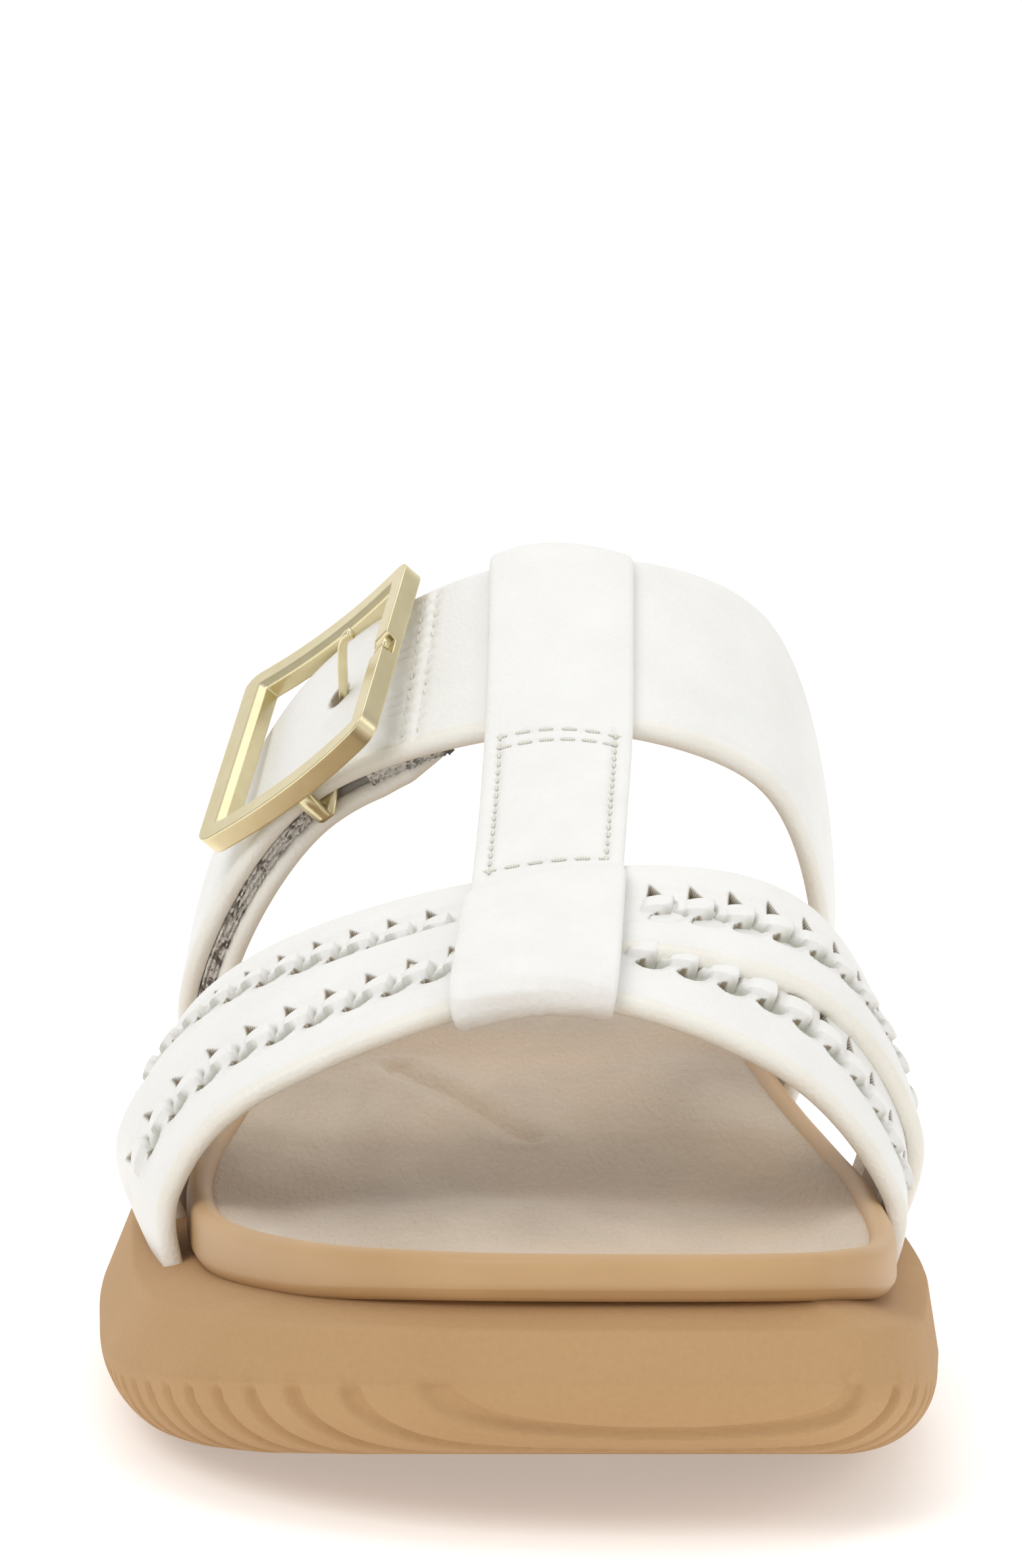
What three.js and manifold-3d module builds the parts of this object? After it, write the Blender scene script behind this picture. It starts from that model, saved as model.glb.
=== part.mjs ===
// A right slide sandal: platform sole, padded footbed, two woven straps, a T-strap and a buckled instep strap.
// Millimetres, +Z up, toe towards -Y, heel towards +Y, +X is the medial (big toe) side.
import * as THREE from "three";
import Module from "manifold-3d";

const wasm = await Module();
wasm.setup();
const { Manifold, Mesh } = wasm;

// Driving sizes
const LENGTH = 262;
const SOLE_WIDTH = 106;
const LAST_HEIGHT = 103;
const SOLE_RADIUS = 10;
const SOLE_FLARE = 4.2;
const LEDGE_DROP = 3.4;
const LEDGE_INSET = 8.0;
const TOE_SPRING = 12;
const HEEL_BEVEL = 4.5;
const ARCH_RISE = 1.2;
const GROOVE_PITCH = 5.2;
const GROOVE_WIDTH = 1.5;
const GROOVE_DEPTH = 1.2;
const GROOVE_REACH = 8.5;
const RIM_WIDTH = 3.4;
const COVER_THICKNESS = 1.0;
const DISH_DEPTH = 2.6;
const PAD_RISE = 2.2;
const STRAP_THICKNESS = 2.5;
const WOVEN_STEP = 1.3;
const T_HALF_WIDTH = 9.5;
const T_FRONT_TAIL = 19;
const T_REAR_TAIL = 22;
const T_THICKNESS = 1.4;
const WEAVE_PITCH = 6.3;
const TAPE_THICKNESS = 1.6;
const GAP = 0.3;
const BUCKLE_ACROSS = 36.4;
const BUCKLE_ALONG = 33.8;
const BUCKLE_BAR = 3.8;
const BUCKLE_DEPTH = 3.0;
const BUCKLE_BOW = 1.2;
const PRONG_WIRE = 1.3;
const BAR_THICKNESS = 1.3;
const BAR_WIDTH = 3.4;

const HALF = LENGTH / 2;
const HALF_WIDTH = SOLE_WIDTH / 2;

// Outline of the sole: share of half length, lateral and medial share of half width
const SOLE_OUTLINE = [
  [-1.0, 0.16, 0.48], [-0.985, -0.06, 0.66], [-0.945, -0.3, 0.8], [-0.87, -0.53, 0.885],
  [-0.76, -0.73, 0.93], [-0.62, -0.875, 0.96], [-0.46, -0.945, 0.985], [-0.32, -0.975, 0.975],
  [-0.16, -0.998, 0.94], [0.0, -1.0, 0.885], [0.18, -0.965, 0.825], [0.36, -0.91, 0.765],
  [0.56, -0.87, 0.72], [0.72, -0.84, 0.66], [0.85, -0.75, 0.55], [0.935, -0.58, 0.38],
  [0.985, -0.345, 0.145], [1.0, -0.2, 0.0],
];
// Outline of the footbed in the same shares
const BED_OUTLINE = [
  [-0.95, 0.196, 0.491], [-0.937, -0.020, 0.608], [-0.9, -0.216, 0.716], [-0.83, -0.392, 0.805],
  [-0.72, -0.549, 0.849], [-0.58, -0.677, 0.868], [-0.44, -0.741, 0.868], [-0.3, -0.770, 0.854],
  [-0.14, -0.765, 0.805], [0.04, -0.726, 0.741], [0.2, -0.697, 0.687], [0.38, -0.687, 0.643],
  [0.56, -0.697, 0.603], [0.7, -0.687, 0.545], [0.81, -0.608, 0.446], [0.89, -0.461, 0.304],
  [0.935, -0.275, 0.118], [0.948, -0.167, 0.010],
];
// Heights along the sole: share of half length, junction with the footbed, footbed rim, share of the ledge drop
const HEIGHTS = [
  [-1.0, 28.2, 33.0, 1.0], [-0.93, 27.2, 32.4, 1.0], [-0.75, 23.6, 30.0, 0.85], [-0.5, 20.8, 27.8, 0.5],
  [-0.25, 20.8, 27.8, 0.35], [0.0, 21.8, 29.6, 0.35], [0.25, 24.4, 32.4, 0.35], [0.5, 27.2, 34.6, 0.35],
  [0.75, 29.6, 37.6, 0.4], [0.93, 31.0, 42.2, 0.5], [1.0, 31.6, 43.4, 0.5],
];
// Underside: share of half length, share of the spring, bevel and arch rises
const UNDERSIDE = [
  [-1.0, 1.0, 0, 0], [-0.93, 0.797, 0, 0], [-0.85, 0.596, 0, 0], [-0.75, 0.384, 0, 0],
  [-0.66, 0.233, 0, 0], [-0.58, 0.13, 0, 0], [-0.5, 0.057, 0, 0], [-0.42, 0.013, 0, 0],
  [-0.34, 0, 0, 0], [0.06, 0, 0, 0], [0.14, 0, 0, 1], [0.24, 0, 0, 1], [0.34, 0, 0, 0],
  [0.86, 0, 0, 0], [0.93, 0, 0.3, 0], [1.0, 0, 1, 0],
];
// Sections of the foot space: y, then x and z at seven places from the lateral to the medial feather
const SECTIONS = [
  [-75, -37, 15.5, -37.0, 26, -27.0, 38.5, 2.0, 47.6, 29.0, 42.5, 46.5, 26, 46.0, 15.5],
  [-60, -40.5, 15.5, -41.2, 28.5, -29.8, 42.0, 3.0, 54.4, 32.8, 46.4, 48.7, 28.5, 47.6, 15.5],
  [-30, -43.2, 15.5, -49.0, 34, -32.0, 52.0, 8.0, 66.4, 35.8, 60.4, 50.3, 35, 46.8, 15.5],
  [10, -40.5, 18.0, -45.0, 39, -29.4, 62.1, 5.0, 81.0, 33.0, 69.6, 43.4, 44, 39.5, 18.0],
  [36, -38.5, 20.0, -45.4, 42.5, -27.7, 77.8, 3.0, 100.8, 34.8, 86.5, 44.4, 47, 36.8, 20.0],
  [64, -38.0, 23.0, -45.4, 46, -27.8, 93.6, 3.0, 121.0, 36.0, 103.0, 46.2, 51, 35.2, 23.0],
];
// Edges of each strap: front and rear y at the same seven places
const EDGES = {
  front: [[-60.5, -35.5], [-59.0, -34.5], [-60.0, -36.0], [-63.0, -39.0], [-61.0, -37.0],
    [-58.5, -34.5], [-60.0, -35.5]],
  rear: [[-29.0, -5.5], [-30.0, -7.0], [-39.5, -18.0], [-51.0, -31.0], [-47.0, -26.5],
    [-37.5, -14.5], [-32.0, -9.5]],
  instep: [[34, 63], [30.5, 59], [23, 47.4], [9.5, 36], [17, 46], [28, 58], [34, 63]],
};

// Curves through tables
function tableSpan(table, value) {
  let i = 0;
  while (i < table.length - 2 && value > table[i + 1][0]) i += 1;
  return i;
}

function tableRead(table, value) {
  const i = tableSpan(table, value);
  const before = table[Math.max(i - 1, 0)];
  const low = table[i];
  const high = table[i + 1];
  const after = table[Math.min(i + 2, table.length - 1)];
  const step = high[0] - low[0];
  const t = Math.min(Math.max((value - low[0]) / step, 0), 1);
  const answer = [];
  for (let column = 1; column < low.length; column += 1) {
    const slopeLow = (high[column] - before[column]) / (high[0] - before[0]) * step;
    const slopeHigh = (after[column] - low[column]) / (after[0] - low[0]) * step;
    const t2 = t * t;
    const t3 = t2 * t;
    answer.push((2 * t3 - 3 * t2 + 1) * low[column] + (t3 - 2 * t2 + t) * slopeLow
      + (-2 * t3 + 3 * t2) * high[column] + (t3 - t2) * slopeHigh);
  }
  return answer;
}

function linearRead(table, value) {
  const i = tableSpan(table, value);
  const t = Math.min(Math.max((value - table[i][0]) / (table[i + 1][0] - table[i][0]), 0), 1);
  return table[i].slice(1).map((low, k) => low + (table[i + 1][k + 1] - low) * t);
}

function alongSeven(values, share) {
  const rows = values.map((value, i) => [i / 6].concat(value));
  return tableRead(rows, share);
}

// Foot space: y and the share from the lateral to the medial feather give a point
function footPoint(y, share) {
  const row = tableRead(SECTIONS, y);
  const seven = [];
  for (let i = 0; i < 7; i += 1) seven.push([row[2 * i], row[2 * i + 1]]);
  const [x, z] = alongSeven(seven, share);
  return new THREE.Vector3(x * HALF_WIDTH / 53, y * HALF / 131, z * LAST_HEIGHT / 103);
}

function footFrame(y, share) {
  const point = footPoint(y, share);
  const alongY = footPoint(y + 0.5, share).sub(footPoint(y - 0.5, share));
  const low = Math.max(share - 0.01, 0);
  const high = Math.min(share + 0.01, 1);
  const alongShare = footPoint(y, high).sub(footPoint(y, low)).normalize();
  const normal = new THREE.Vector3().crossVectors(alongShare, alongY).normalize();
  return { point, normal, alongShare };
}

function footOffset(y, share, distance) {
  const { point, normal } = footFrame(y, share);
  return point.addScaledVector(normal, distance);
}

// Closed solids
function solidFrom(points, triangles) {
  const coordinates = new Float32Array(points.length * 3);
  points.forEach((p, i) => coordinates.set([p.x, p.y, p.z], i * 3));
  const mesh = new Mesh({ numProp: 3, vertProperties: coordinates, triVerts: new Uint32Array(triangles.flat()) });
  const solid = new Manifold(mesh);
  return solid.volume() < 0 ? solidFrom(points, triangles.map(([a, b, c]) => [a, c, b])) : solid;
}

// A slab between two equal grids of points
function slab(outer, inner) {
  const rows = outer.length;
  const columns = outer[0].length;
  const points = outer.flat().concat(inner.flat());
  const shift = rows * columns;
  const at = (i, j) => i * columns + j;
  const triangles = [];
  const quad = (a, b, c, d) => triangles.push([a, b, c], [a, c, d]);
  for (let i = 0; i < rows - 1; i += 1) {
    for (let j = 0; j < columns - 1; j += 1) {
      quad(at(i, j), at(i, j + 1), at(i + 1, j + 1), at(i + 1, j));
      quad(shift + at(i, j), shift + at(i + 1, j), shift + at(i + 1, j + 1), shift + at(i, j + 1));
    }
  }
  for (let i = 0; i < rows - 1; i += 1) {
    quad(at(i, 0), at(i + 1, 0), shift + at(i + 1, 0), shift + at(i, 0));
    quad(at(i + 1, columns - 1), at(i, columns - 1), shift + at(i, columns - 1), shift + at(i + 1, columns - 1));
  }
  for (let j = 0; j < columns - 1; j += 1) {
    quad(at(0, j + 1), at(0, j), shift + at(0, j), shift + at(0, j + 1));
    quad(at(rows - 1, j), at(rows - 1, j + 1), shift + at(rows - 1, j + 1), shift + at(rows - 1, j));
  }
  return solidFrom(points, triangles);
}

// A stack of rings, each a lateral and a medial row of points, closed by crosswise strips
function ringStack(rings, crossPoints, lowHeight, highHeight) {
  const size = rings[0].length;
  const half = size / 2;
  const points = rings.flat();
  const triangles = [];
  const quad = (a, b, c, d) => triangles.push([a, b, c], [a, c, d]);
  for (let k = 0; k < rings.length - 1; k += 1) {
    for (let i = 0; i < size; i += 1) {
      const next = (i + 1) % size;
      quad(k * size + i, k * size + next, (k + 1) * size + next, (k + 1) * size + i);
    }
  }
  const cap = (base, height, flip) => {
    const lines = [];
    for (let i = 0; i < half; i += 1) {
      const left = base + i;
      const right = base + size - 1 - i;
      const line = [left];
      for (let c = 1; c <= crossPoints; c += 1) {
        const p = points[left].clone().lerp(points[right], c / (crossPoints + 1));
        p.z = height(p.x, p.y, p.z, c / (crossPoints + 1));
        points.push(p);
        line.push(points.length - 1);
      }
      line.push(right);
      lines.push(line);
    }
    for (let i = 0; i < half - 1; i += 1) {
      for (let c = 0; c < lines[i].length - 1; c += 1) {
        const corners = [lines[i][c], lines[i][c + 1], lines[i + 1][c + 1], lines[i + 1][c]];
        if (flip) corners.reverse();
        quad(...corners);
      }
    }
    for (const [line, turned] of [[lines[0], !flip], [lines[half - 1], flip]]) {
      for (let c = 1; c < line.length - 1; c += 1) {
        triangles.push(turned ? [line[0], line[c + 1], line[c]] : [line[0], line[c], line[c + 1]]);
      }
    }
  };
  cap(0, lowHeight, false);
  cap((rings.length - 1) * size, highHeight, true);
  return solidFrom(points, triangles);
}

// Outlines, resampled so that both sides share their stations
function outline(table, stations) {
  const lateral = [];
  const medial = [];
  const first = table[0][0];
  const last = table[table.length - 1][0];
  for (let i = 0; i < stations; i += 1) {
    const turn = (1 - Math.cos(Math.PI * i / (stations - 1))) / 2;
    const share = first + (last - first) * (0.35 * i / (stations - 1) + 0.65 * turn);
    const [low, high] = tableRead(table, share);
    lateral.push(new THREE.Vector2(low * HALF_WIDTH, share * HALF));
    medial.push(new THREE.Vector2(high * HALF_WIDTH, share * HALF));
  }
  return lateral.concat(medial.reverse());
}

function insetRing(line, inset, height, flare = 0) {
  const size = line.length;
  return line.map((p, i) => {
    const before = line[(i + size - 1) % size];
    const after = line[(i + 1) % size];
    const tangent = after.clone().sub(before).normalize();
    const inward = new THREE.Vector2(tangent.y, -tangent.x);
    const lean = inset + flare * (0.66 + 0.34 * inward.x);
    const x = p.x + inward.x * lean;
    const y = p.y + inward.y * lean;
    return new THREE.Vector3(x, y, height(x, y));
  });
}

const junctionAt = (y) => tableRead(HEIGHTS, y / HALF)[0];
const rimAt = (y) => tableRead(HEIGHTS, y / HALF)[1];
const dropAt = (y) => tableRead(HEIGHTS, y / HALF)[2] * LEDGE_DROP;
function underAt(y) {
  const [spring, bevel, arch] = linearRead(UNDERSIDE, y / HALF);
  return spring * TOE_SPRING + bevel * HEEL_BEVEL + arch * ARCH_RISE;
}

// Sole body and the core that the tread grooves are cut down to
function soleBody(shrink) {
  const line = outline(SOLE_OUTLINE, 26);
  const under = (x, y) => underAt(y) + shrink;
  const levels = [
    [SOLE_RADIUS, 0], [SOLE_RADIUS * 0.45, SOLE_RADIUS * 0.16], [SOLE_RADIUS * 0.13, SOLE_RADIUS * 0.45],
    [0, SOLE_RADIUS],
  ];
  const wall = (y) => Math.min((junctionAt(y) - dropAt(y) - underAt(y)) / (1.8 * SOLE_RADIUS), 1);
  const rings = levels.map(([inset, rise]) => insetRing(line, inset + shrink, (x, y) => under(x, y) + rise * wall(y)));
  const ledge = (inset, sag) => rings.push(insetRing(line, inset + shrink,
    (x, y) => junctionAt(y) - dropAt(y) * sag, SOLE_FLARE));
  ledge(0, 1);
  ledge(LEDGE_INSET * 0.5, 0.45);
  ledge(LEDGE_INSET, 0);
  return ringStack(rings, 0, (x, y) => under(x, y), (x, y) => junctionAt(y));
}

function box(minimum, maximum) {
  const rows = [];
  const under = [];
  for (const y of [minimum[1], maximum[1]]) {
    rows.push([minimum[0], maximum[0]].map((x) => new THREE.Vector3(x, y, maximum[2])));
    under.push([minimum[0], maximum[0]].map((x) => new THREE.Vector3(x, y, minimum[2])));
  }
  return slab(rows, under);
}

function outsole() {
  const body = soleBody(0);
  const core = soleBody(GROOVE_DEPTH);
  const cuts = [];
  const groove = (y) => cuts.push(box([-SOLE_WIDTH, y - GROOVE_WIDTH / 2, -5],
    [SOLE_WIDTH, y + GROOVE_WIDTH / 2, underAt(y) + GROOVE_REACH]));
  for (let i = 0; i < 11; i += 1) groove(-0.925 * HALF + i * GROOVE_PITCH);
  for (let i = 0; i < 4; i += 1) groove(0.92 * HALF - i * GROOVE_PITCH);
  return body.subtract(Manifold.union(cuts).subtract(core));
}

// Top of the footbed: a dish with a raised pad behind the toes
function bedTop(x, y) {
  const across = x / HALF_WIDTH;
  const along = y / HALF;
  const pad = Math.exp(-(((across + 0.02) / 0.42) ** 2)) * Math.exp(-(((along + 0.47) / 0.14) ** 2));
  const arch = Math.exp(-(((across - 0.5) / 0.3) ** 2)) * Math.exp(-(((along - 0.12) / 0.3) ** 2));
  const heel = along > 0.6 ? (along - 0.6) * 11 : 0;
  return rimAt(y) - DISH_DEPTH - heel + PAD_RISE * pad + 3.0 * arch;
}

function footbed() {
  const line = outline(BED_OUTLINE, 23);
  const sunk = COVER_THICKNESS + 1.5 * GAP;
  const base = (x, y) => junctionAt(y) + GAP;
  const rings = [
    insetRing(line, 0.6, base),
    insetRing(line, 0, (x, y) => junctionAt(y) + 1.8),
    insetRing(line, 0.1, (x, y) => rimAt(y) - 1.6),
    insetRing(line, 1.2, (x, y) => rimAt(y) - 0.3),
    insetRing(line, RIM_WIDTH - 0.6, (x, y) => rimAt(y) - 0.5),
    insetRing(line, RIM_WIDTH, (x, y) => Math.min(rimAt(y) - 1.0, bedTop(x, y) + 1.2) - sunk),
    insetRing(line, RIM_WIDTH + 9, (x, y) => bedTop(x, y) - sunk),
  ];
  return ringStack(rings, 4, (x, y) => base(x, y), (x, y) => bedTop(x, y) - sunk);
}

function footbedCover() {
  const line = outline(BED_OUTLINE, 23);
  const edge = RIM_WIDTH + GAP;
  const lip = (x, y) => Math.min(rimAt(y) - 1.0, bedTop(x, y) + 1.2);
  const rings = [
    insetRing(line, RIM_WIDTH + 9, (x, y) => bedTop(x, y) - COVER_THICKNESS),
    insetRing(line, edge, (x, y) => lip(x, y) - COVER_THICKNESS),
    insetRing(line, edge, (x, y) => lip(x, y) - 0.2),
    insetRing(line, RIM_WIDTH + 9, bedTop),
  ];
  return ringStack(rings, 4, (x, y) => bedTop(x, y) - COVER_THICKNESS, bedTop);
}

// A strap around the foot between its front and rear edges
function strapGrid(name, from, to, steps, offset, grow, narrow) {
  const rows = [];
  for (let i = 0; i <= steps; i += 1) {
    const share = from + (to - from) * i / steps;
    const [front, rear] = alongSeven(EDGES[name], Math.min(Math.max(share, 0), 1));
    const row = [];
    for (const t of [0, 0.12, 0.88, 1]) {
      const atEdge = t === 0 || t === 1;
      const y = front - grow + narrow + (rear - front + 2 * (grow - narrow)) * t;
      const point = footOffset(y, share, offset(share, atEdge));
      if (grow > 0 && (share < 0.001 || share > 0.999)) point.z -= grow + 0.1;
      row.push(point);
    }
    rows.push(row);
  }
  return rows;
}

function strap(name, from, to, steps, top, thickness, grow, narrow = 0) {
  const round = thickness * 0.28;
  const over = (share, atEdge) => top(share) + grow - (atEdge ? round : 0);
  const under = (share, atEdge) => top(share) - thickness - grow + (atEdge ? round : 0);
  const outer = strapGrid(name, from, to, steps, over, grow, narrow);
  const inner = strapGrid(name, from, to, steps, under, grow, narrow);
  return slab(outer, inner);
}

const frontTop = (share) => WOVEN_STEP * Math.cos(Math.PI * share);
const rearTop = (share) => -WOVEN_STEP * Math.cos(Math.PI * share);
const instepTop = () => 0;
const layerDrop = STRAP_THICKNESS + TAPE_THICKNESS + 2 * GAP;
const innerTop = (share) => -layerDrop * Math.min(Math.max(share / 0.16, 0), 1);

function wovenFront(grow) {
  return strap("front", 0, 1, 24, frontTop, STRAP_THICKNESS, grow);
}

function wovenRear(grow) {
  return strap("rear", 0, 1, 24, rearTop, STRAP_THICKNESS, grow);
}

function instepOuter(grow) {
  return strap("instep", 0.13, 1, 24, instepTop, STRAP_THICKNESS, grow);
}

function instepInner(grow) {
  return strap("instep", 0, 0.43, 12, innerTop, 2.0, grow);
}

// Weave: leaning flaps stand up from the strap and two rows of openings go through it
function localPrism(y, share, turn, outlinePoints, low, high) {
  const { point, normal, alongShare } = footFrame(y, share);
  const across = new THREE.Vector3().crossVectors(normal, alongShare).normalize();
  const u = alongShare.clone().multiplyScalar(Math.cos(turn)).addScaledVector(across, Math.sin(turn));
  const v = across.clone().multiplyScalar(Math.cos(turn)).addScaledVector(alongShare, -Math.sin(turn));
  const place = ([a, b], c) => point.clone().addScaledVector(u, a).addScaledVector(v, b).addScaledVector(normal, c);
  const size = outlinePoints.length;
  const points = outlinePoints.map((p) => place(p, low)).concat(outlinePoints.map((p) => place(p, high)));
  const triangles = [];
  for (let i = 0; i < size; i += 1) {
    const next = (i + 1) % size;
    triangles.push([i, next, size + next], [i, size + next, size + i]);
    if (i > 0 && i < size - 1) {
      triangles.push([0, i + 1, i], [size, size + i, size + i + 1]);
    }
  }
  return solidFrom(points, triangles);
}

function weaveShares(name, side) {
  const middle = (share) => {
    const [front, rear] = alongSeven(EDGES[name], share);
    return footPoint((front + rear) / 2, share);
  };
  const shares = [];
  let travelled = 0;
  let wanted = T_HALF_WIDTH + WEAVE_PITCH * 0.8;
  let previous = middle(0.5);
  for (let share = 0.5; share > 0.13; share -= 0.002) {
    const mirrored = side < 0 ? share : 1 - share;
    const here = middle(mirrored);
    travelled += here.distanceTo(previous);
    previous = here;
    if (travelled >= wanted) {
      shares.push(mirrored);
      wanted += WEAVE_PITCH;
    }
  }
  return shares;
}

const TRIANGLE_HOLE = [[-1.3, -0.9], [1.3, -0.9], [0.2, 1.5]];
const LEAF_HOLE = [[-2.1, 0.1], [-0.2, -0.95], [2.1, 0.3], [0.2, 0.95]];
const FLAP = [[-1.8, -1.9], [1.8, -1.9], [1.8, 1.9], [-1.8, 1.9]];

function weaveOn(name, top) {
  const holes = [];
  const flaps = [];
  for (const side of [-1, 1]) {
    for (const share of weaveShares(name, side)) {
      const [front, rear] = alongSeven(EDGES[name], share);
      const width = rear - front;
      const level = top(share);
      const lean = side * 0.35;
      holes.push(localPrism(front + width * 0.73, share, lean, TRIANGLE_HOLE, level - 6, level + 3));
      holes.push(localPrism(front + width * 0.33, share, lean, LEAF_HOLE, level - 6, level + 3));
      flaps.push(localPrism(front + width * 0.53, share, lean, FLAP, level - 1.2, level + 0.7));
    }
  }
  return { holes: Manifold.union(holes), flaps: Manifold.union(flaps) };
}

// T-strap: a loop over the instep strap and the woven straps
function shareAtX(y, x) {
  let low = 0.2;
  let high = 0.8;
  for (let i = 0; i < 26; i += 1) {
    const middle = (low + high) / 2;
    if (footPoint(y, middle).x < x) low = middle;
    else high = middle;
  }
  return (low + high) / 2;
}

const T_PATH = [[-66, 2.5], [-30, 4.9], [10, 6.4], [40, 7.0]];

function bandGrid(yFrom, yTo, steps, halfWidth, level) {
  const rows = [];
  for (let i = 0; i <= steps; i += 1) {
    const y = yFrom + (yTo - yFrom) * i / steps;
    const [centre] = tableRead(T_PATH, y);
    const endRound = i === 0 || i === steps ? 0.7 : 0;
    rows.push([-1, -0.8, -0.3, 0.3, 0.8, 1].map((t) => {
      const edgeRound = Math.abs(t) === 1 ? 0.5 : 0;
      const share = shareAtX(y, (centre + t * halfWidth) * HALF_WIDTH / 53);
      return footOffset(y, share, level(endRound + edgeRound));
    }));
  }
  return rows;
}

function band(yFrom, yTo, steps, low, high, narrow) {
  const outer = bandGrid(yFrom, yTo, steps, T_HALF_WIDTH - narrow, (round) => high - round);
  const inner = bandGrid(yFrom, yTo, steps, T_HALF_WIDTH - narrow, (round) => low + round);
  return slab(outer, inner);
}

function tStrap() {
  const high = T_THICKNESS + 0.4;
  const low = -STRAP_THICKNESS - T_THICKNESS;
  const frontEdge = EDGES.front[3][0];
  const instepRear = EDGES.instep[3][1];
  return Manifold.union([
    band(frontEdge - 1.8, instepRear + 1.8, 14, -0.8, high, 0),
    band(frontEdge - 1.7, frontEdge + 0.6, 1, low, high - 0.1, 0.15),
    band(frontEdge - 1.4, frontEdge + T_FRONT_TAIL, 5, low + 0.1, -STRAP_THICKNESS + 0.6, 0.4),
    band(instepRear - 0.6, instepRear + 1.7, 1, low, high - 0.1, 0.15),
    band(instepRear - T_REAR_TAIL, instepRear + 1.4, 5, low + 0.1, -STRAP_THICKNESS + 0.6, 0.4),
  ]);
}

// Buckle: a bowed frame standing on the lateral side of the instep strap, its place and turn from the strap under it
const BUCKLE_SEAT = { y: 34.75, share: 0.346, along: [-0.8500, 0.5250, -0.0439], across: [-0.5255, -0.8479, 0.0699] };
const seat = footFrame(BUCKLE_SEAT.y, BUCKLE_SEAT.share);
const seatAcross = new THREE.Vector3().crossVectors(seat.normal, seat.alongShare);
const turned = ([a, b, c]) => seat.alongShare.clone().multiplyScalar(a).addScaledVector(seatAcross, b)
  .addScaledVector(seat.normal, c).normalize();
const ALONG = turned(BUCKLE_SEAT.along);
const ACROSS = turned(BUCKLE_SEAT.across).addScaledVector(ALONG, -turned(BUCKLE_SEAT.across).dot(ALONG)).normalize();
const OUTWARD = new THREE.Vector3().crossVectors(ALONG, ACROSS).normalize();
const bowAt = (u) => -BUCKLE_BOW * (2 * u / BUCKLE_ALONG) ** 2;
const frameHalfU = (BUCKLE_ALONG - BUCKLE_BAR) / 2;
const frameHalfV = (BUCKLE_ACROSS - BUCKLE_BAR) / 2;

// Places on the instep strap at a height, in the buckle's own directions
function strapUnderBuckle(height) {
  const places = [];
  for (let share = 0.2; share < 0.5; share += 0.006) {
    const [front, rear] = alongSeven(EDGES.instep, share);
    for (let t = 0; t <= 1; t += 0.05) {
      const from = footOffset(front + (rear - front) * t, share, height).sub(seat.point);
      places.push({ u: from.dot(ALONG), v: from.dot(ACROSS), w: from.dot(OUTWARD) });
    }
  }
  return places;
}

const underBar = (value, half) => Math.abs(Math.abs(value) - half) < BUCKLE_BAR / 2 + GAP;
const within = (value, half) => Math.abs(value) < half + BUCKLE_BAR / 2 + GAP;
const lift = Math.max(...strapUnderBuckle(0)
  .filter(({ u, v }) => (underBar(u, frameHalfU) && within(v, frameHalfV)) || (underBar(v, frameHalfV) && within(u, frameHalfU)))
  .map(({ u, w }) => w + bowAt(u) + BUCKLE_DEPTH / 2 + 1.5 * GAP));
const BUCKLE_CENTRE = seat.point.clone().addScaledVector(OUTWARD, lift);

// The centre bar lies midway between the two layers: its level and tilt across the strap
const barPlaces = strapUnderBuckle(-(STRAP_THICKNESS + layerDrop) / 2)
  .filter(({ u }) => Math.abs(u) < BAR_WIDTH / 2 + GAP);
const mean = (values) => values.reduce((sum, value) => sum + value, 0) / values.length;
const middleV = mean(barPlaces.map(({ v }) => v));
const middleW = mean(barPlaces.map(({ w }) => w));
const barTilt = mean(barPlaces.map(({ v, w }) => (v - middleV) * (w - middleW)))
  / mean(barPlaces.map(({ v }) => (v - middleV) ** 2));
const barRests = barPlaces.map(({ v, w }) => w - lift - barTilt * v);
const barLevel = (Math.max(...barRests) + Math.min(...barRests)) / 2;
const barAt = (v) => barLevel + barTilt * v;

function bucklePoint(u, v, w) {
  return BUCKLE_CENTRE.clone().addScaledVector(ALONG, u).addScaledVector(ACROSS, v).addScaledVector(OUTWARD, w - bowAt(u));
}

function ringSweep(path, section) {
  const size = section.length;
  const points = [];
  const triangles = [];
  path.forEach((place, i) => {
    section.forEach((p) => points.push(place(p)));
    const next = (i + 1) % path.length;
    for (let k = 0; k < size; k += 1) {
      const other = (k + 1) % size;
      triangles.push([i * size + k, next * size + k, next * size + other]);
      triangles.push([i * size + k, next * size + other, i * size + other]);
    }
  });
  return solidFrom(points, triangles);
}

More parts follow.
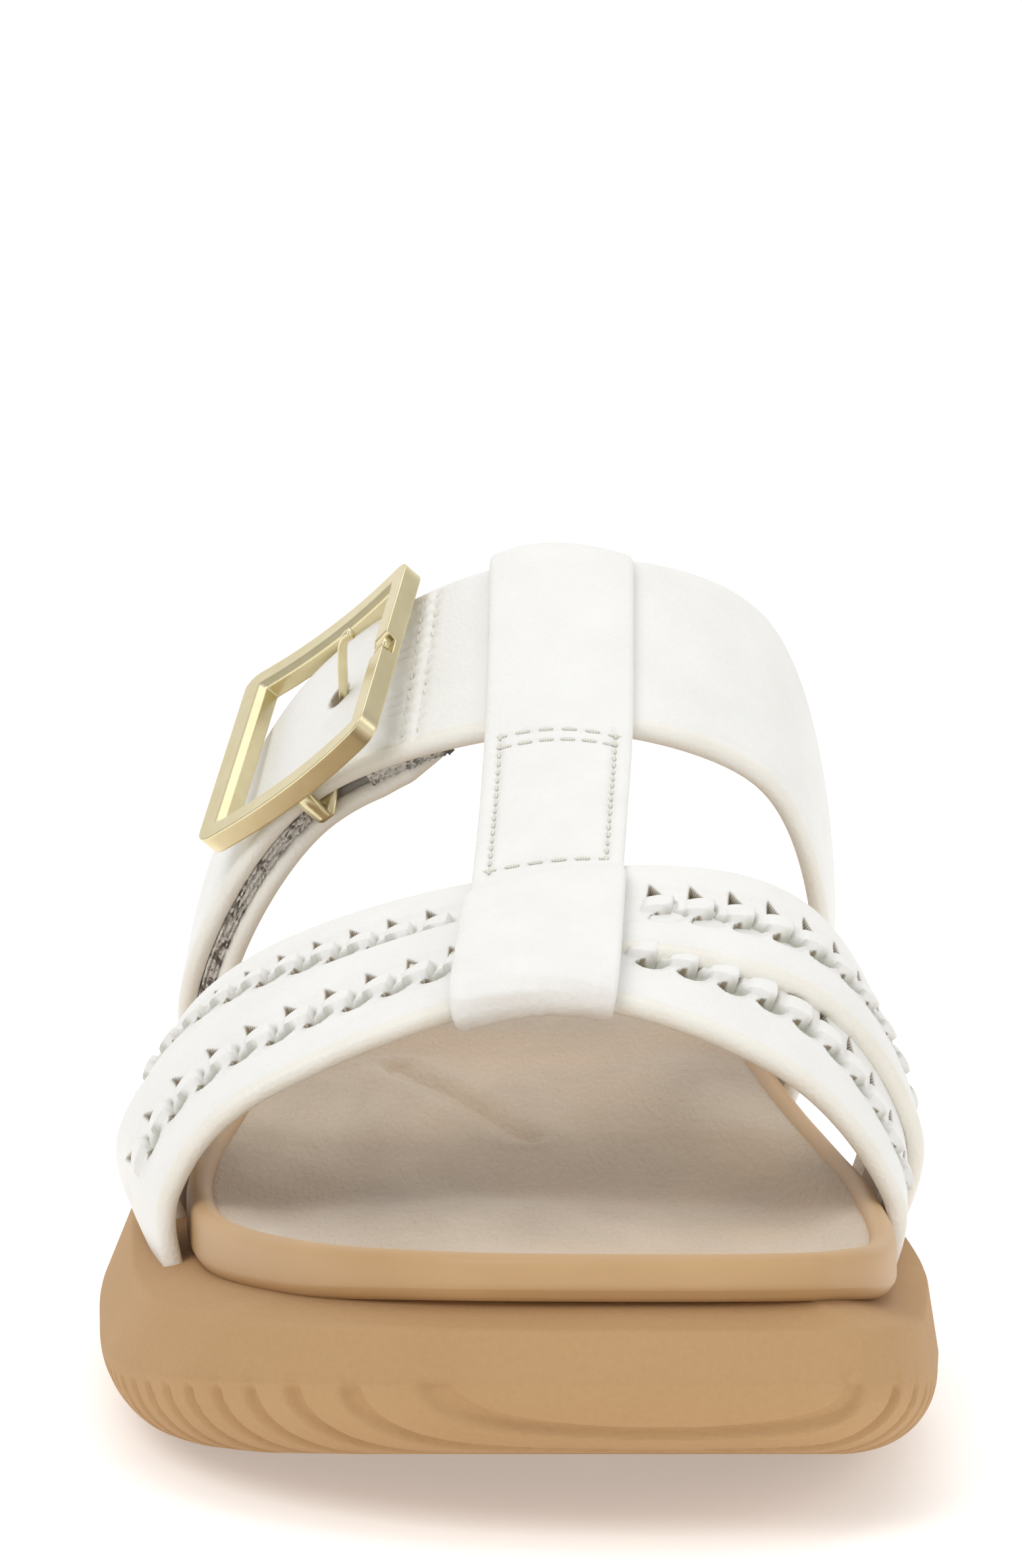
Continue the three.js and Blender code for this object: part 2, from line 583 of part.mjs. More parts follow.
function buckleFrame() {
  const corner = BUCKLE_BAR / 2 + 0.3;
  const halfU = frameHalfU;
  const halfV = frameHalfV;
  const path = [];
  const corners = [[1, 1, 0], [-1, 1, 90], [-1, -1, 180], [1, -1, 270]];
  corners.forEach(([su, sv, start], k) => {
    for (let i = 0; i <= 2; i += 1) {
      const angle = (start + 45 * i) * Math.PI / 180;
      const cu = su * (halfU - corner);
      const cv = sv * (halfV - corner);
      path.push((p) => bucklePoint(cu + Math.cos(angle) * (corner + p[0]), cv + Math.sin(angle) * (corner + p[0]), p[1]));
    }
    const [nu, nv] = corners[(k + 1) % 4];
    for (let i = 1; i <= 3; i += 1) {
      const t = i / 4;
      const angle = (start + 90) * Math.PI / 180;
      const du = Math.cos(angle) * corner;
      const dv = Math.sin(angle) * corner;
      const cu = (su + (nu - su) * t) * (halfU - corner);
      const cv = (sv + (nv - sv) * t) * (halfV - corner);
      path.push((p) => bucklePoint(cu + du + Math.cos(angle) * p[0], cv + dv + Math.sin(angle) * p[0], p[1]));
    }
  });
  const a = BUCKLE_BAR / 2;
  const b = BUCKLE_DEPTH / 2;
  const section = [[a, -b * 0.5], [a, b * 0.4], [a * 0.45, b], [-a * 0.55, b], [-a, b * 0.5], [-a, -b * 0.5],
    [-a * 0.5, -b], [a * 0.5, -b]];
  const frame = ringSweep(path, section);
  const parts = [frame];
  const block = (halfLength, v0, v1, low, high) => {
    const row = (u, level) => [v0, v1].map((v, k) => bucklePoint(u, v, level[k]));
    parts.push(slab([row(-halfLength, high), row(halfLength, high)], [row(-halfLength, low), row(halfLength, low)]));
  };
  const ends = [-halfV - 0.6, halfV + 0.6];
  block(BAR_WIDTH / 2, ends[0], ends[1], ends.map((v) => barAt(v) - BAR_THICKNESS / 2),
    ends.map((v) => barAt(v) + BAR_THICKNESS / 2));
  for (const side of [-1, 1]) {
    const near = side < 0 ? [-halfV - 1.3, -halfV + 0.1] : [halfV - 0.1, halfV + 1.3];
    block(1.7, near[0], near[1], near.map((v) => barAt(v) - BAR_THICKNESS / 2), [0, 0]);
  }
  const notchAt = -BUCKLE_ALONG / 2;
  const notch = slab(
    [[-1.35, 1.35].map((v) => bucklePoint(notchAt - 1, v, BUCKLE_DEPTH)),
      [-1.35, 1.35].map((v) => bucklePoint(notchAt + BUCKLE_BAR + 1, v, BUCKLE_DEPTH))],
    [[-1.35, 1.35].map((v) => bucklePoint(notchAt - 1, v, BUCKLE_DEPTH * 0.28)),
      [-1.35, 1.35].map((v) => bucklePoint(notchAt + BUCKLE_BAR + 1, v, BUCKLE_DEPTH * 0.28))],
  );
  return Manifold.union(parts).subtract(notch);
}

function prongBody(grow) {
  const half = PRONG_WIRE / 2 + grow;
  const stations = [[-1.2, barLevel + BAR_THICKNESS / 2 + PRONG_WIRE / 2 + 1.5 * GAP], [-4.2, -2.2], [-10.5, 2.3], [-15.3, 3.9]];
  const outer = [];
  const inner = [];
  for (const [u, w] of stations) {
    const unbowed = w + bowAt(u);
    outer.push([-half, half].map((v) => bucklePoint(u, v, unbowed + half)));
    inner.push([-half, half].map((v) => bucklePoint(u, v, unbowed - half)));
  }
  return slab(outer, inner);
}

// Pieces
const front = wovenFront(0);
const rear = wovenRear(0);
const frontWeave = weaveOn("front", frontTop);
const rearWeave = weaveOn("rear", rearTop);
const prong = prongBody(0);
const frame = buckleFrame();
const frontWoven = front.add(frontWeave.flaps).subtract(frontWeave.holes);
const rearWoven = rear.add(rearWeave.flaps).subtract(rearWeave.holes);
const prongWay = prongBody(1.0);
const tapeStops = (from, to) => strap("instep", from, to, 5,
  () => -STRAP_THICKNESS - GAP, TAPE_THICKNESS, 0, 1.2);

const joined = Manifold.union([frontWoven, rearWoven, instepOuter(0), tStrap()]).subtract(prongWay).simplify(0.06);
const straps = joined.decompose().reduce((best, part) => (part.volume() > best.volume() ? part : best));
const inner = instepInner(0);
const feet = Manifold.union([wovenFront(GAP), wovenRear(GAP), instepOuter(GAP), instepInner(GAP)]);

const SATIN_GOLD = new THREE.MeshStandardMaterial({ color: 0xc9bc8c, metalness: 0.9, roughness: 0.35 });
const WHITE_LEATHER = new THREE.MeshStandardMaterial({ color: 0xeeeeec, roughness: 0.6 });
const TAN_FOAM = new THREE.MeshStandardMaterial({ color: 0xb8946c, roughness: 0.9 });
const TAN_WRAP = new THREE.MeshStandardMaterial({ color: 0xc29d6e, roughness: 0.7 });
const SUEDE = new THREE.MeshStandardMaterial({ color: 0xbcaa94, roughness: 0.95 });
const TAPE = new THREE.MeshStandardMaterial({ color: 0x8b8078, roughness: 0.95 });

const group = new THREE.Group();

function addPiece(name, solid, material) {
  const mesh = solid.getMesh();
  const positions = new Float32Array(mesh.triVerts.length * 3);
  mesh.triVerts.forEach((vertex, i) => {
    for (let k = 0; k < 3; k += 1) positions[i * 3 + k] = mesh.vertProperties[vertex * mesh.numProp + k];
  });
  const geometry = new THREE.BufferGeometry();
  geometry.setAttribute("position", new THREE.BufferAttribute(positions, 3));
  geometry.computeVertexNormals();
  const piece = new THREE.Mesh(geometry, material);
  piece.name = name;
  group.add(piece);
}

addPiece("outsole", outsole().subtract(feet), TAN_FOAM);
addPiece("footbed", footbed().subtract(feet), TAN_WRAP);
addPiece("footbed_cover", footbedCover().subtract(feet), SUEDE);
addPiece("upper", straps, WHITE_LEATHER);
addPiece("closure_strap", inner, WHITE_LEATHER);
addPiece("hook_and_loop_low", tapeStops(0.17, 0.3), TAPE);
addPiece("hook_and_loop_high", tapeStops(0.395, 0.43), TAPE);
addPiece("buckle_frame", frame, SATIN_GOLD);
addPiece("buckle_prong", prong, SATIN_GOLD);

export default group;
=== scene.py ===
"""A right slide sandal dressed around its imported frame: toe towards -Y, big-toe side +X, metres."""
import math

import bmesh
import bpy
import numpy as np
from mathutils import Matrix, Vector


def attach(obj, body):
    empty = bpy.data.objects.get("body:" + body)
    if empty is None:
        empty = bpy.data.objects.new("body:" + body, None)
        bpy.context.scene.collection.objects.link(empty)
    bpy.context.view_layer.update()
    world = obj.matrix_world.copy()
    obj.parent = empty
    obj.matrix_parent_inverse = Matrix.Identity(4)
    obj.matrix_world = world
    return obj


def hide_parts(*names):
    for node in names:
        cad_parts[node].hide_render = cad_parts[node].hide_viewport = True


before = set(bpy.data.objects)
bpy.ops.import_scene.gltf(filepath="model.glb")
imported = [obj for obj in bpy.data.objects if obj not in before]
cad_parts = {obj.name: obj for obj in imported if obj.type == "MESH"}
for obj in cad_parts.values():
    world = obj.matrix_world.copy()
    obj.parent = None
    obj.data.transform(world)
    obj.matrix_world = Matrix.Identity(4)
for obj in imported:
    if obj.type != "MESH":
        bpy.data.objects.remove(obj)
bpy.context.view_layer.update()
MM = 0.001

# Stage
# The sandal stands alone on a pale studio floor that curves up into its backdrop, seen straight on
# from the toe and a little above, under large soft lamps.
CAMERA_DISTANCE = 0.8
CAMERA_ELEVATION = math.radians(7.5)
CAMERA_TARGET = Vector((0, 0, 0.045))
CAMERA_LENS = 139.5
FRAME_HEIGHT_PX = 2380
TARGET_ROW_PX = 1516
FLOOR_COLOUR = "F4F3F1"
FLOOR_PALE = "FAF9F8"
AIR_COLOUR = "FFFFFF"
AIR_STRENGTH = 0.5


def linear(colour):
    """sRGB hex to the linear colour that sockets take."""
    parts = [int(colour[i:i + 2], 16) / 255 for i in (0, 2, 4)]
    return tuple(c / 12.92 if c <= 0.04045 else ((c + 0.055) / 1.055) ** 2.4 for c in parts) + (1.0,)


def add_node(tree, kind, inputs=None, **settings):
    """A node with its settings, and its inputs set, or linked to a socket or to a node's first output."""
    node = tree.nodes.new(kind)
    for name, value in settings.items():
        setattr(node, name, value)
    for name, value in (inputs or {}).items():
        if isinstance(value, bpy.types.Node):
            value = value.outputs[0]
        if isinstance(value, bpy.types.NodeSocket):
            tree.links.new(value, node.inputs[name])
        else:
            node.inputs[name].default_value = value
    return node


def new_material(name, **sockets):
    """A Principled material with the sockets that are the same all over it."""
    material = bpy.data.materials.new(name)
    material.use_nodes = True
    shader = material.node_tree.nodes["Principled BSDF"]
    for socket, value in sockets.items():
        shader.inputs[socket.replace("_", " ")].default_value = value
    return material, material.node_tree, shader


def drive(shader, **sources):
    """Links sockets, or the first outputs of nodes, to the shader's own sockets."""
    for name, source in sources.items():
        socket = source.outputs[0] if isinstance(source, bpy.types.Node) else source
        shader.id_data.links.new(socket, shader.inputs[name.replace("_", " ")])


def mesh_object(name, points, faces, material):
    """A mesh object at the origin from points in millimetres."""
    mesh = bpy.data.meshes.new(name)
    mesh.from_pydata((np.asarray(points, float) * MM).tolist(), [], faces)
    mesh.materials.append(material)
    mesh.update()
    mesh.shade_smooth()
    piece = bpy.data.objects.new(name, mesh)
    bpy.context.scene.collection.objects.link(piece)
    return piece


def face_outwards(piece):
    """Turns every face of a closed mesh outwards."""
    work = bmesh.new()
    work.from_mesh(piece.data)
    bmesh.ops.recalc_face_normals(work, faces=work.faces)
    if work.calc_volume(signed=True) < 0:
        bmesh.ops.reverse_faces(work, faces=work.faces)
    work.to_mesh(piece.data)
    work.free()


def studio():
    camera_data = bpy.data.cameras.new("camera")
    camera_data.sensor_fit = "VERTICAL"
    camera_data.sensor_height = 36
    camera_data.lens = CAMERA_LENS
    camera_data.shift_y = (TARGET_ROW_PX - FRAME_HEIGHT_PX / 2) / FRAME_HEIGHT_PX
    camera_data.clip_start = 0.05
    camera = bpy.data.objects.new("camera", camera_data)
    back = Vector((0, -math.cos(CAMERA_ELEVATION), math.sin(CAMERA_ELEVATION)))
    camera.location = CAMERA_TARGET + back * CAMERA_DISTANCE
    camera.rotation_euler = (math.pi / 2 - CAMERA_ELEVATION, 0, 0)
    bpy.context.scene.collection.objects.link(camera)
    bpy.context.scene.camera = camera

    floor_paint, tree, shader = new_material("studio_floor", Roughness=0.9, Emission_Strength=0.33)
    where = add_node(tree, "ShaderNodeTexCoord").outputs["Object"]
    cloud = add_node(tree, "ShaderNodeTexNoise", {"Vector": where, "Scale": 2.0})
    tint = add_node(tree, "ShaderNodeMix", {"Factor": cloud.outputs["Fac"], "A": linear(FLOOR_COLOUR),
                                            "B": linear(FLOOR_PALE)}, data_type="RGBA")
    drive(shader, Base_Color=tint.outputs[2], Emission_Color=tint.outputs[2])
    side, bend_start, bend, top = 4000, 1500, 900, 3500
    curve = [(-side, 0), (bend_start, 0)]
    curve += [(bend_start + bend * math.sin(a), bend - bend * math.cos(a))
              for a in np.linspace(0.1, math.pi / 2, 12)]
    curve.append((bend_start + bend, top))
    points = [(x, y, z) for y, z in curve for x in (-side, side)]
    faces = [(2 * i, 2 * i + 1, 2 * i + 3, 2 * i + 2) for i in range(len(curve) - 1)]
    floor = mesh_object("floor", points, faces, floor_paint)

    def lamp(name, place, aim, size, power):
        light = bpy.data.lights.new(name, "AREA")
        light.shape = "RECTANGLE"
        light.size, light.size_y = size
        light.energy = power
        holder = bpy.data.objects.new(name, light)
        holder.location = place
        holder.rotation_euler = (Vector(aim) - Vector(place)).to_track_quat("-Z", "Y").to_euler()
        bpy.context.scene.collection.objects.link(holder)

    lamp("key_softbox", (-0.9, -1.1, 1.5), (0, 0, 0.04), (1.2, 1.2), 13)
    lamp("fill_softbox", (1.3, -0.9, 0.9), (0, 0, 0.04), (1.0, 1.0), 5)
    lamp("top_softbox", (0.1, 0.3, 1.7), (0, 0, 0.03), (1.6, 1.6), 9)
    world = bpy.data.worlds.new("studio_air")
    world.use_nodes = True
    air = world.node_tree.nodes["Background"].inputs
    air["Color"].default_value = linear(AIR_COLOUR)
    air["Strength"].default_value = AIR_STRENGTH
    bpy.context.scene.world = world
    bpy.context.scene.view_settings.view_transform = "Standard"


studio()

# Outsole
# Moulded EVA foam platform. Its wall flares out under a sloping ledge round the footbed, the underside
# springs up at the toe, and rounded grooves cross it and run a little way up the wall.
HALF = 131
HALF_WIDTH = 53
SOLE_RADIUS = 10
SOLE_FLARE = 4.2
LEDGE_DROP = 3.4
LEDGE_INSET = 8
# share of the way in over the ledge, share of its drop that is left there
LEDGE_CURVE = ((0.02, 0.985), (0.09, 0.93), (0.2, 0.83), (0.35, 0.66), (0.55, 0.43), (0.8, 0.17), (1, 0))
TOE_SPRING = 12
HEEL_BEVEL = 4.5
ARCH_RISE = 1.2
GROOVE_PITCH = 5.2
GROOVE_WIDTH = 1.5
GROOVE_DEPTH = 1.2
GROOVE_REACH = 8.5
FOAM_TAN = "BE9A6F"
FOAM_DEEP = "AE885C"
# share of half length, lateral and medial share of half width
SOLE_OUTLINE = [
    (-0.985, -0.06, 0.66), (-0.945, -0.3, 0.8), (-0.87, -0.53, 0.885), (-0.76, -0.73, 0.93),
    (-0.62, -0.875, 0.96), (-0.46, -0.945, 0.985), (-0.32, -0.975, 0.975), (-0.16, -0.998, 0.94),
    (0.0, -1.0, 0.885), (0.18, -0.965, 0.825), (0.36, -0.91, 0.765), (0.56, -0.87, 0.72),
    (0.72, -0.84, 0.66), (0.85, -0.75, 0.55), (0.935, -0.58, 0.38), (0.982, -0.36, 0.16)]
SOLE_TIPS = ((-1.0, 0.32), (1.0, -0.1))
# share of half length, junction with the footbed, footbed rim, share of the ledge drop
HEIGHTS = [
    (-1.0, 28.2, 33.0, 1.0), (-0.93, 27.2, 32.4, 1.0), (-0.75, 23.6, 30.0, 0.85), (-0.5, 20.8, 27.8, 0.5),
    (-0.25, 20.8, 27.8, 0.35), (0.0, 21.8, 29.6, 0.35), (0.25, 24.4, 32.4, 0.35), (0.5, 27.2, 34.6, 0.35),
    (0.75, 29.6, 37.6, 0.4), (0.93, 31.0, 42.2, 0.5), (1.0, 31.6, 43.4, 0.5)]
# share of half length, share of the spring, heel bevel and arch rises
UNDERSIDE = [
    (-1.0, 1.0, 0, 0), (-0.93, 0.797, 0, 0), (-0.85, 0.596, 0, 0), (-0.75, 0.384, 0, 0),
    (-0.66, 0.233, 0, 0), (-0.58, 0.13, 0, 0), (-0.5, 0.057, 0, 0), (-0.42, 0.013, 0, 0),
    (-0.34, 0, 0, 0), (0.06, 0, 0, 0), (0.14, 0, 0, 1), (0.24, 0, 0, 1), (0.34, 0, 0, 0),
    (0.86, 0, 0, 0), (0.93, 0, 0.3, 0), (1.0, 0, 1, 0)]


def cubic(low, high, slope_low, slope_high, t):
    """From low to high, with the slopes given at both ends."""
    return ((2 * t**3 - 3 * t**2 + 1) * low + (t**3 - 2 * t**2 + t) * slope_low
            + (3 * t**2 - 2 * t**3) * high + (t**3 - t**2) * slope_high)


def between_places(p0, p1, p2, p3, t):
    """A point of the smooth curve from the second to the third of four places."""
    return 0.5 * (2 * p1 + (p2 - p0) * t + (2 * p0 - 5 * p1 + 4 * p2 - p3) * t**2
                  + (3 * p1 - p0 - 3 * p2 + p3) * t**3)


def through(table, values):
    """A smooth curve through a table's rows, read at the values of its first column."""
    table = np.asarray(table, float)
    values = np.asarray(values, float)
    key = table[:, 0]
    last = len(key) - 1
    i = np.clip(np.searchsorted(key, values, side="right") - 1, 0, last - 1)
    before, after = np.maximum(i - 1, 0), np.minimum(i + 2, last)
    step = (key[i + 1] - key[i])[..., None]
    t = np.clip((values - key[i]) / step[..., 0], 0, 1)[..., None]
    row = table[:, 1:]
    low, high = row[i], row[i + 1]
    slope_low = (high - row[before]) / (key[i + 1] - key[before])[..., None] * step
    slope_high = (row[after] - low) / (key[after] - key[i])[..., None] * step
    return cubic(low, high, slope_low, slope_high, t)


def closed_outline(table, tips, stations):
    """Lateral and medial points of a closed outline at shared stations along the length."""
    rows = np.array(table)
    toe, heel = tips
    ring = [(toe[1], toe[0])] + [(a, y) for y, a, _ in rows] + [(heel[1], heel[0])]
    ring += [(b, y) for y, _, b in rows[::-1]]
    ring = np.array(ring) * (HALF_WIDTH, HALF)
    count = len(ring)
    dense = []
    for k in range(count):
        p0, p1, p2, p3 = (ring[(k + j) % count] for j in (-1, 0, 1, 2))
        for t in np.linspace(0, 1, 40, endpoint=False):
            dense.append(between_places(p0, p1, p2, p3, t))
    dense = np.array(dense)
    low, high = np.argmin(dense[:, 1]), np.argmax(dense[:, 1])
    dense = np.roll(dense, -low, axis=0)
    split = (high - low) % len(dense)
    lateral, medial = dense[:split + 1], np.vstack([dense[split:], dense[:1]])[::-1]
    turn = (1 - np.cos(np.pi * np.linspace(0, 1, stations))) / 2
    y = lateral[0, 1] + (lateral[-1, 1] - lateral[0, 1]) * turn
    left = np.interp(y, lateral[:, 1], lateral[:, 0])
    right = np.interp(y, medial[:, 1], medial[:, 0])
    return np.column_stack([np.concatenate([left, right[-2:0:-1]]), np.concatenate([y, y[-2:0:-1]])])


def inset_line(line, inset, flare=0.0):
    """A closed outline moved inwards, and less or more where its wall flares."""
    tangent = np.roll(line, -1, axis=0) - np.roll(line, 1, axis=0)
    tangent /= np.linalg.norm(tangent, axis=1)[:, None]
    inward = np.column_stack([tangent[:, 1], -tangent[:, 0]])
    return line + inward * (inset + flare * (0.66 + 0.34 * inward[:, :1]))


def ring_body(rings, low_columns, high_columns, low_height, high_height):
    """Points and faces of stacked rings whose two ends are closed by crosswise rows."""
    size = len(rings[0])
    half = size // 2 + 1
    points = [np.vstack(rings)]
    total = len(points[0])
    index = np.arange(size)
    following = (index + 1) % size
    faces = []
    for k in range(len(rings) - 1):
        low, high = k * size, (k + 1) * size
        faces += np.column_stack([low + index, low + following, high + following, high + index]).tolist()
    for base, columns, height, flip in ((0, low_columns, low_height, True),
                                        ((len(rings) - 1) * size, high_columns, high_height, False)):
        ring = points[0][base:base + size]
        left, right = ring[1:half - 1], ring[:half - 1:-1]
        rows = [base + np.arange(1, half - 1)]
        for c in range(1, columns + 1):
            share = c / (columns + 1)
            between = left + (right - left) * share
            between[:, 2] = height(between[:, 0], between[:, 1])
            points.append(between)
            rows.append(total + np.arange(len(between)))
            total += len(between)
        rows.append(base + size - np.arange(1, half - 1))
        rows = np.array(rows)
        for c in range(len(rows) - 1):
            quads = np.column_stack([rows[c, :-1], rows[c + 1, :-1], rows[c + 1, 1:], rows[c, 1:]])
            faces += (quads[:, ::-1] if flip else quads).tolist()
            for tip, end, turned in ((base, 0, flip), (base + half - 1, -1, not flip)):
                fan = [tip, rows[c, end], rows[c + 1, end]]
                faces.append([int(v) for v in (fan if turned else fan[::-1])])
    return np.vstack(points), faces


def junction_at(y):
    return through(HEIGHTS, y / HALF)[..., 0]


def rim_at(y):
    return through(HEIGHTS, y / HALF)[..., 1]


def drop_at(y):
    return through(HEIGHTS, y / HALF)[..., 2] * LEDGE_DROP


def under_at(y):
    table = np.array(UNDERSIDE)
    rises = [np.interp(y / HALF, table[:, 0], table[:, k]) for k in (1, 2, 3)]
    return rises[0] * TOE_SPRING + rises[1] * HEEL_BEVEL + rises[2] * ARCH_RISE


def foam_material():
    # EVA foam, injection moulded: matte, with the fine sandy grain of the mould and faint cloudy shade.
    # The grain is drawn at 0.7 mm and the clouds at 22 mm. Real grain is finer and would not show.
    material, tree, shader = new_material("moulded_eva_foam", Roughness=0.82, IOR=1.47)
    where = add_node(tree, "ShaderNodeTexCoord").outputs["Object"]
    cloud = add_node(tree, "ShaderNodeTexNoise", {"Vector": where, "Scale": 45.0, "Detail": 4.0})
    grit = add_node(tree, "ShaderNodeTexNoise", {"Vector": where, "Scale": 1400.0, "Detail": 2.0})
    blend = add_node(tree, "ShaderNodeMath", {0: cloud.outputs["Fac"], 1: 0.55}, operation="MULTIPLY")
    tint = add_node(tree, "ShaderNodeMath", {0: grit.outputs["Fac"], 1: 0.45, 2: blend},
                    operation="MULTIPLY_ADD")
    colour = add_node(tree, "ShaderNodeMix", {"Factor": tint, "A": linear(FOAM_DEEP),
                                              "B": linear(FOAM_TAN)}, data_type="RGBA")
    drive(shader, Base_Color=colour.outputs[2])
    bump = add_node(tree, "ShaderNodeBump", {"Height": grit.outputs["Fac"], "Strength": 0.35,
                                             "Distance": 0.00025})
    drive(shader, Normal=bump)
    return material


def new_tree(name, **sizes):
    """A geometry tree whose inputs are a shape, sizes in millimetres and a material."""
    tree = bpy.data.node_groups.new(name, "GeometryNodeTree")
    socket = tree.interface.new_socket
    socket("Geometry", in_out="INPUT", socket_type="NodeSocketGeometry")
    for size, value in sizes.items():
        socket(size, in_out="INPUT", socket_type="NodeSocketFloat").default_value = value * MM
    socket("Material", in_out="INPUT", socket_type="NodeSocketMaterial")
    socket("Geometry", in_out="OUTPUT", socket_type="NodeSocketGeometry")
    return tree, add_node(tree, "NodeGroupInput").outputs


def close_tree(tree, shape, material):
    """Makes what a tree has laid real, gives it its material and hands it out."""
    real = add_node(tree, "GeometryNodeRealizeInstances", {0: shape})
    painted = add_node(tree, "GeometryNodeSetMaterial", {"Geometry": real, "Material": material})
    add_node(tree, "NodeGroupOutput", {0: painted})
    return tree


def groove_tree():
    """Presses rounded grooves into a mesh at a pitch along Y, as far up as groove_reach says."""
    tree, given = new_tree("cross_grooves", Pitch=GROOVE_PITCH, Width=GROOVE_WIDTH, Depth=GROOVE_DEPTH)
    place = add_node(tree, "GeometryNodeInputPosition")
    split = add_node(tree, "ShaderNodeSeparateXYZ", {0: place})
    steps = add_node(tree, "ShaderNodeMath", {0: split.outputs["Y"], 1: given["Pitch"]}, operation="DIVIDE")
    phase = add_node(tree, "ShaderNodeMath", {0: steps}, operation="FRACT")
    centred = add_node(tree, "ShaderNodeMath", {0: phase, 1: 0.5}, operation="SUBTRACT")
    away = add_node(tree, "ShaderNodeMath", {0: centred}, operation="ABSOLUTE")
    distance = add_node(tree, "ShaderNodeMath", {0: away, 1: given["Pitch"]}, operation="MULTIPLY")
    edge = add_node(tree, "ShaderNodeMath", {0: given["Width"], 1: 0.72}, operation="MULTIPLY")
    floor = add_node(tree, "ShaderNodeMath", {0: given["Width"], 1: 0.26}, operation="MULTIPLY")
    profile = add_node(tree, "ShaderNodeMapRange", {"Value": distance, "From Min": floor,
                                                    "From Max": edge, "To Min": 1.0, "To Max": 0.0},
                       interpolation_type="SMOOTHSTEP")
    reach = add_node(tree, "GeometryNodeInputNamedAttribute", {"Name": "groove_reach"}, data_type="FLOAT")
    amount = add_node(tree, "ShaderNodeMath", {0: profile.outputs["Result"], 1: reach.outputs["Attribute"]},
                      operation="MULTIPLY")
    depth = add_node(tree, "ShaderNodeMath", {0: amount, 1: given["Depth"]}, operation="MULTIPLY")
    inward = add_node(tree, "ShaderNodeMath", {0: depth, 1: -1.0}, operation="MULTIPLY")
    normal = add_node(tree, "GeometryNodeInputNormal")
    offset = add_node(tree, "ShaderNodeVectorMath", {0: normal, "Scale": inward},
                      operation="SCALE")
    moved = add_node(tree, "GeometryNodeSetPosition", {"Geometry": given["Geometry"], "Offset": offset})
    return close_tree(tree, moved, given["Material"])


def run_tree(piece, tree, **values):
    """Runs a node tree on a piece and keeps the result as its plain mesh."""
    modifier = piece.modifiers.new(tree.name, "NODES")
    modifier.node_group = tree
    for item in tree.interface.items_tree:
        if item.in_out == "INPUT" and item.name in values:
            modifier[item.identifier] = values[item.name]
    bpy.context.view_layer.update()
    evaluated = piece.evaluated_get(bpy.context.evaluated_depsgraph_get())
    result = bpy.data.meshes.new_from_object(evaluated)
    piece.modifiers.clear()
    piece.data = result


def dress(piece, nodes):
    """A piece that stands for CAD nodes and rides with them."""
    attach(piece, "root")
    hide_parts(*nodes)
    return piece


def mark(piece, name, values, kind="FLOAT", field="value"):
    """Keeps a value at each point of a piece for its material or tree to read."""
    attribute = piece.data.attributes.new(name, kind, "POINT")
    attribute.data.foreach_set(field, np.asarray(values, float).ravel())


def outsole():
    line = closed_outline(SOLE_OUTLINE, SOLE_TIPS, 620)
    wall = np.minimum((junction_at(line[:, 1]) - drop_at(line[:, 1]) - under_at(line[:, 1]))
                      / (1.8 * SOLE_RADIUS), 1)
    rings = []

    def ring(flat, height):
        rings.append(np.column_stack([flat, height]))

    for turn in np.linspace(0, math.pi / 2, 34):
        flat = inset_line(line, SOLE_RADIUS * (1 - math.sin(turn)))
        ring(flat, under_at(flat[:, 1]) + SOLE_RADIUS * (1 - math.cos(turn)) * wall)
    top = inset_line(line, 0, SOLE_FLARE)
    low, high = rings[-1], np.column_stack([top, junction_at(top[:, 1]) - drop_at(top[:, 1])])
    for share in (0.25, 0.5, 0.72, 0.86, 0.93):
        rings.append(low + (high - low) * share)
    for share, sag in LEDGE_CURVE:
        flat = inset_line(line, LEDGE_INSET * share, SOLE_FLARE)
        ring(flat, junction_at(flat[:, 1]) - drop_at(flat[:, 1]) * sag)
    points, faces = ring_body(rings, 22, 2, lambda x, y: under_at(y), lambda x, y: junction_at(y))
    piece = mesh_object("sandal_outsole", points, faces, foam_material())
    face_outwards(piece)
    above = points[:, 2] - under_at(points[:, 1])
    reach = np.clip((GROOVE_REACH - above) / 1.6, 0, 1)
    mark(piece, "groove_reach", reach)
    run_tree(piece, groove_tree(), Material=piece.data.materials[0])
    return dress(piece, ["outsole"])


outsole()

# Footbed
# Foam board wrapped in smooth tan sheet that is turned down round its edge, so the rim is a soft roll
# with a thin dark line where it meets the sole. The bed dips inside the rim and rises behind the toes.
RIM_WIDTH = 3.4
DISH_DEPTH = 2.6
PAD_RISE = 2.2
ROLL_DROP = 1.9
ROLL_RADIUS = 1.75
COVER_ROOM = 1.6
BED_OUTLINE = [
    (-0.937, -0.020, 0.608), (-0.9, -0.216, 0.716), (-0.83, -0.392, 0.805), (-0.72, -0.549, 0.849),
    (-0.58, -0.677, 0.868), (-0.44, -0.741, 0.868), (-0.3, -0.770, 0.854), (-0.14, -0.765, 0.805),
    (0.04, -0.726, 0.741), (0.2, -0.697, 0.687), (0.38, -0.687, 0.643), (0.56, -0.697, 0.603),
    (0.7, -0.687, 0.545), (0.81, -0.608, 0.446), (0.89, -0.461, 0.304), (0.932, -0.29, 0.13)]
BED_TIPS = ((-0.95, 0.34), (0.949, -0.08))
WRAP_TAN = "C7A376"
WRAP_DEEP = "B48F62"


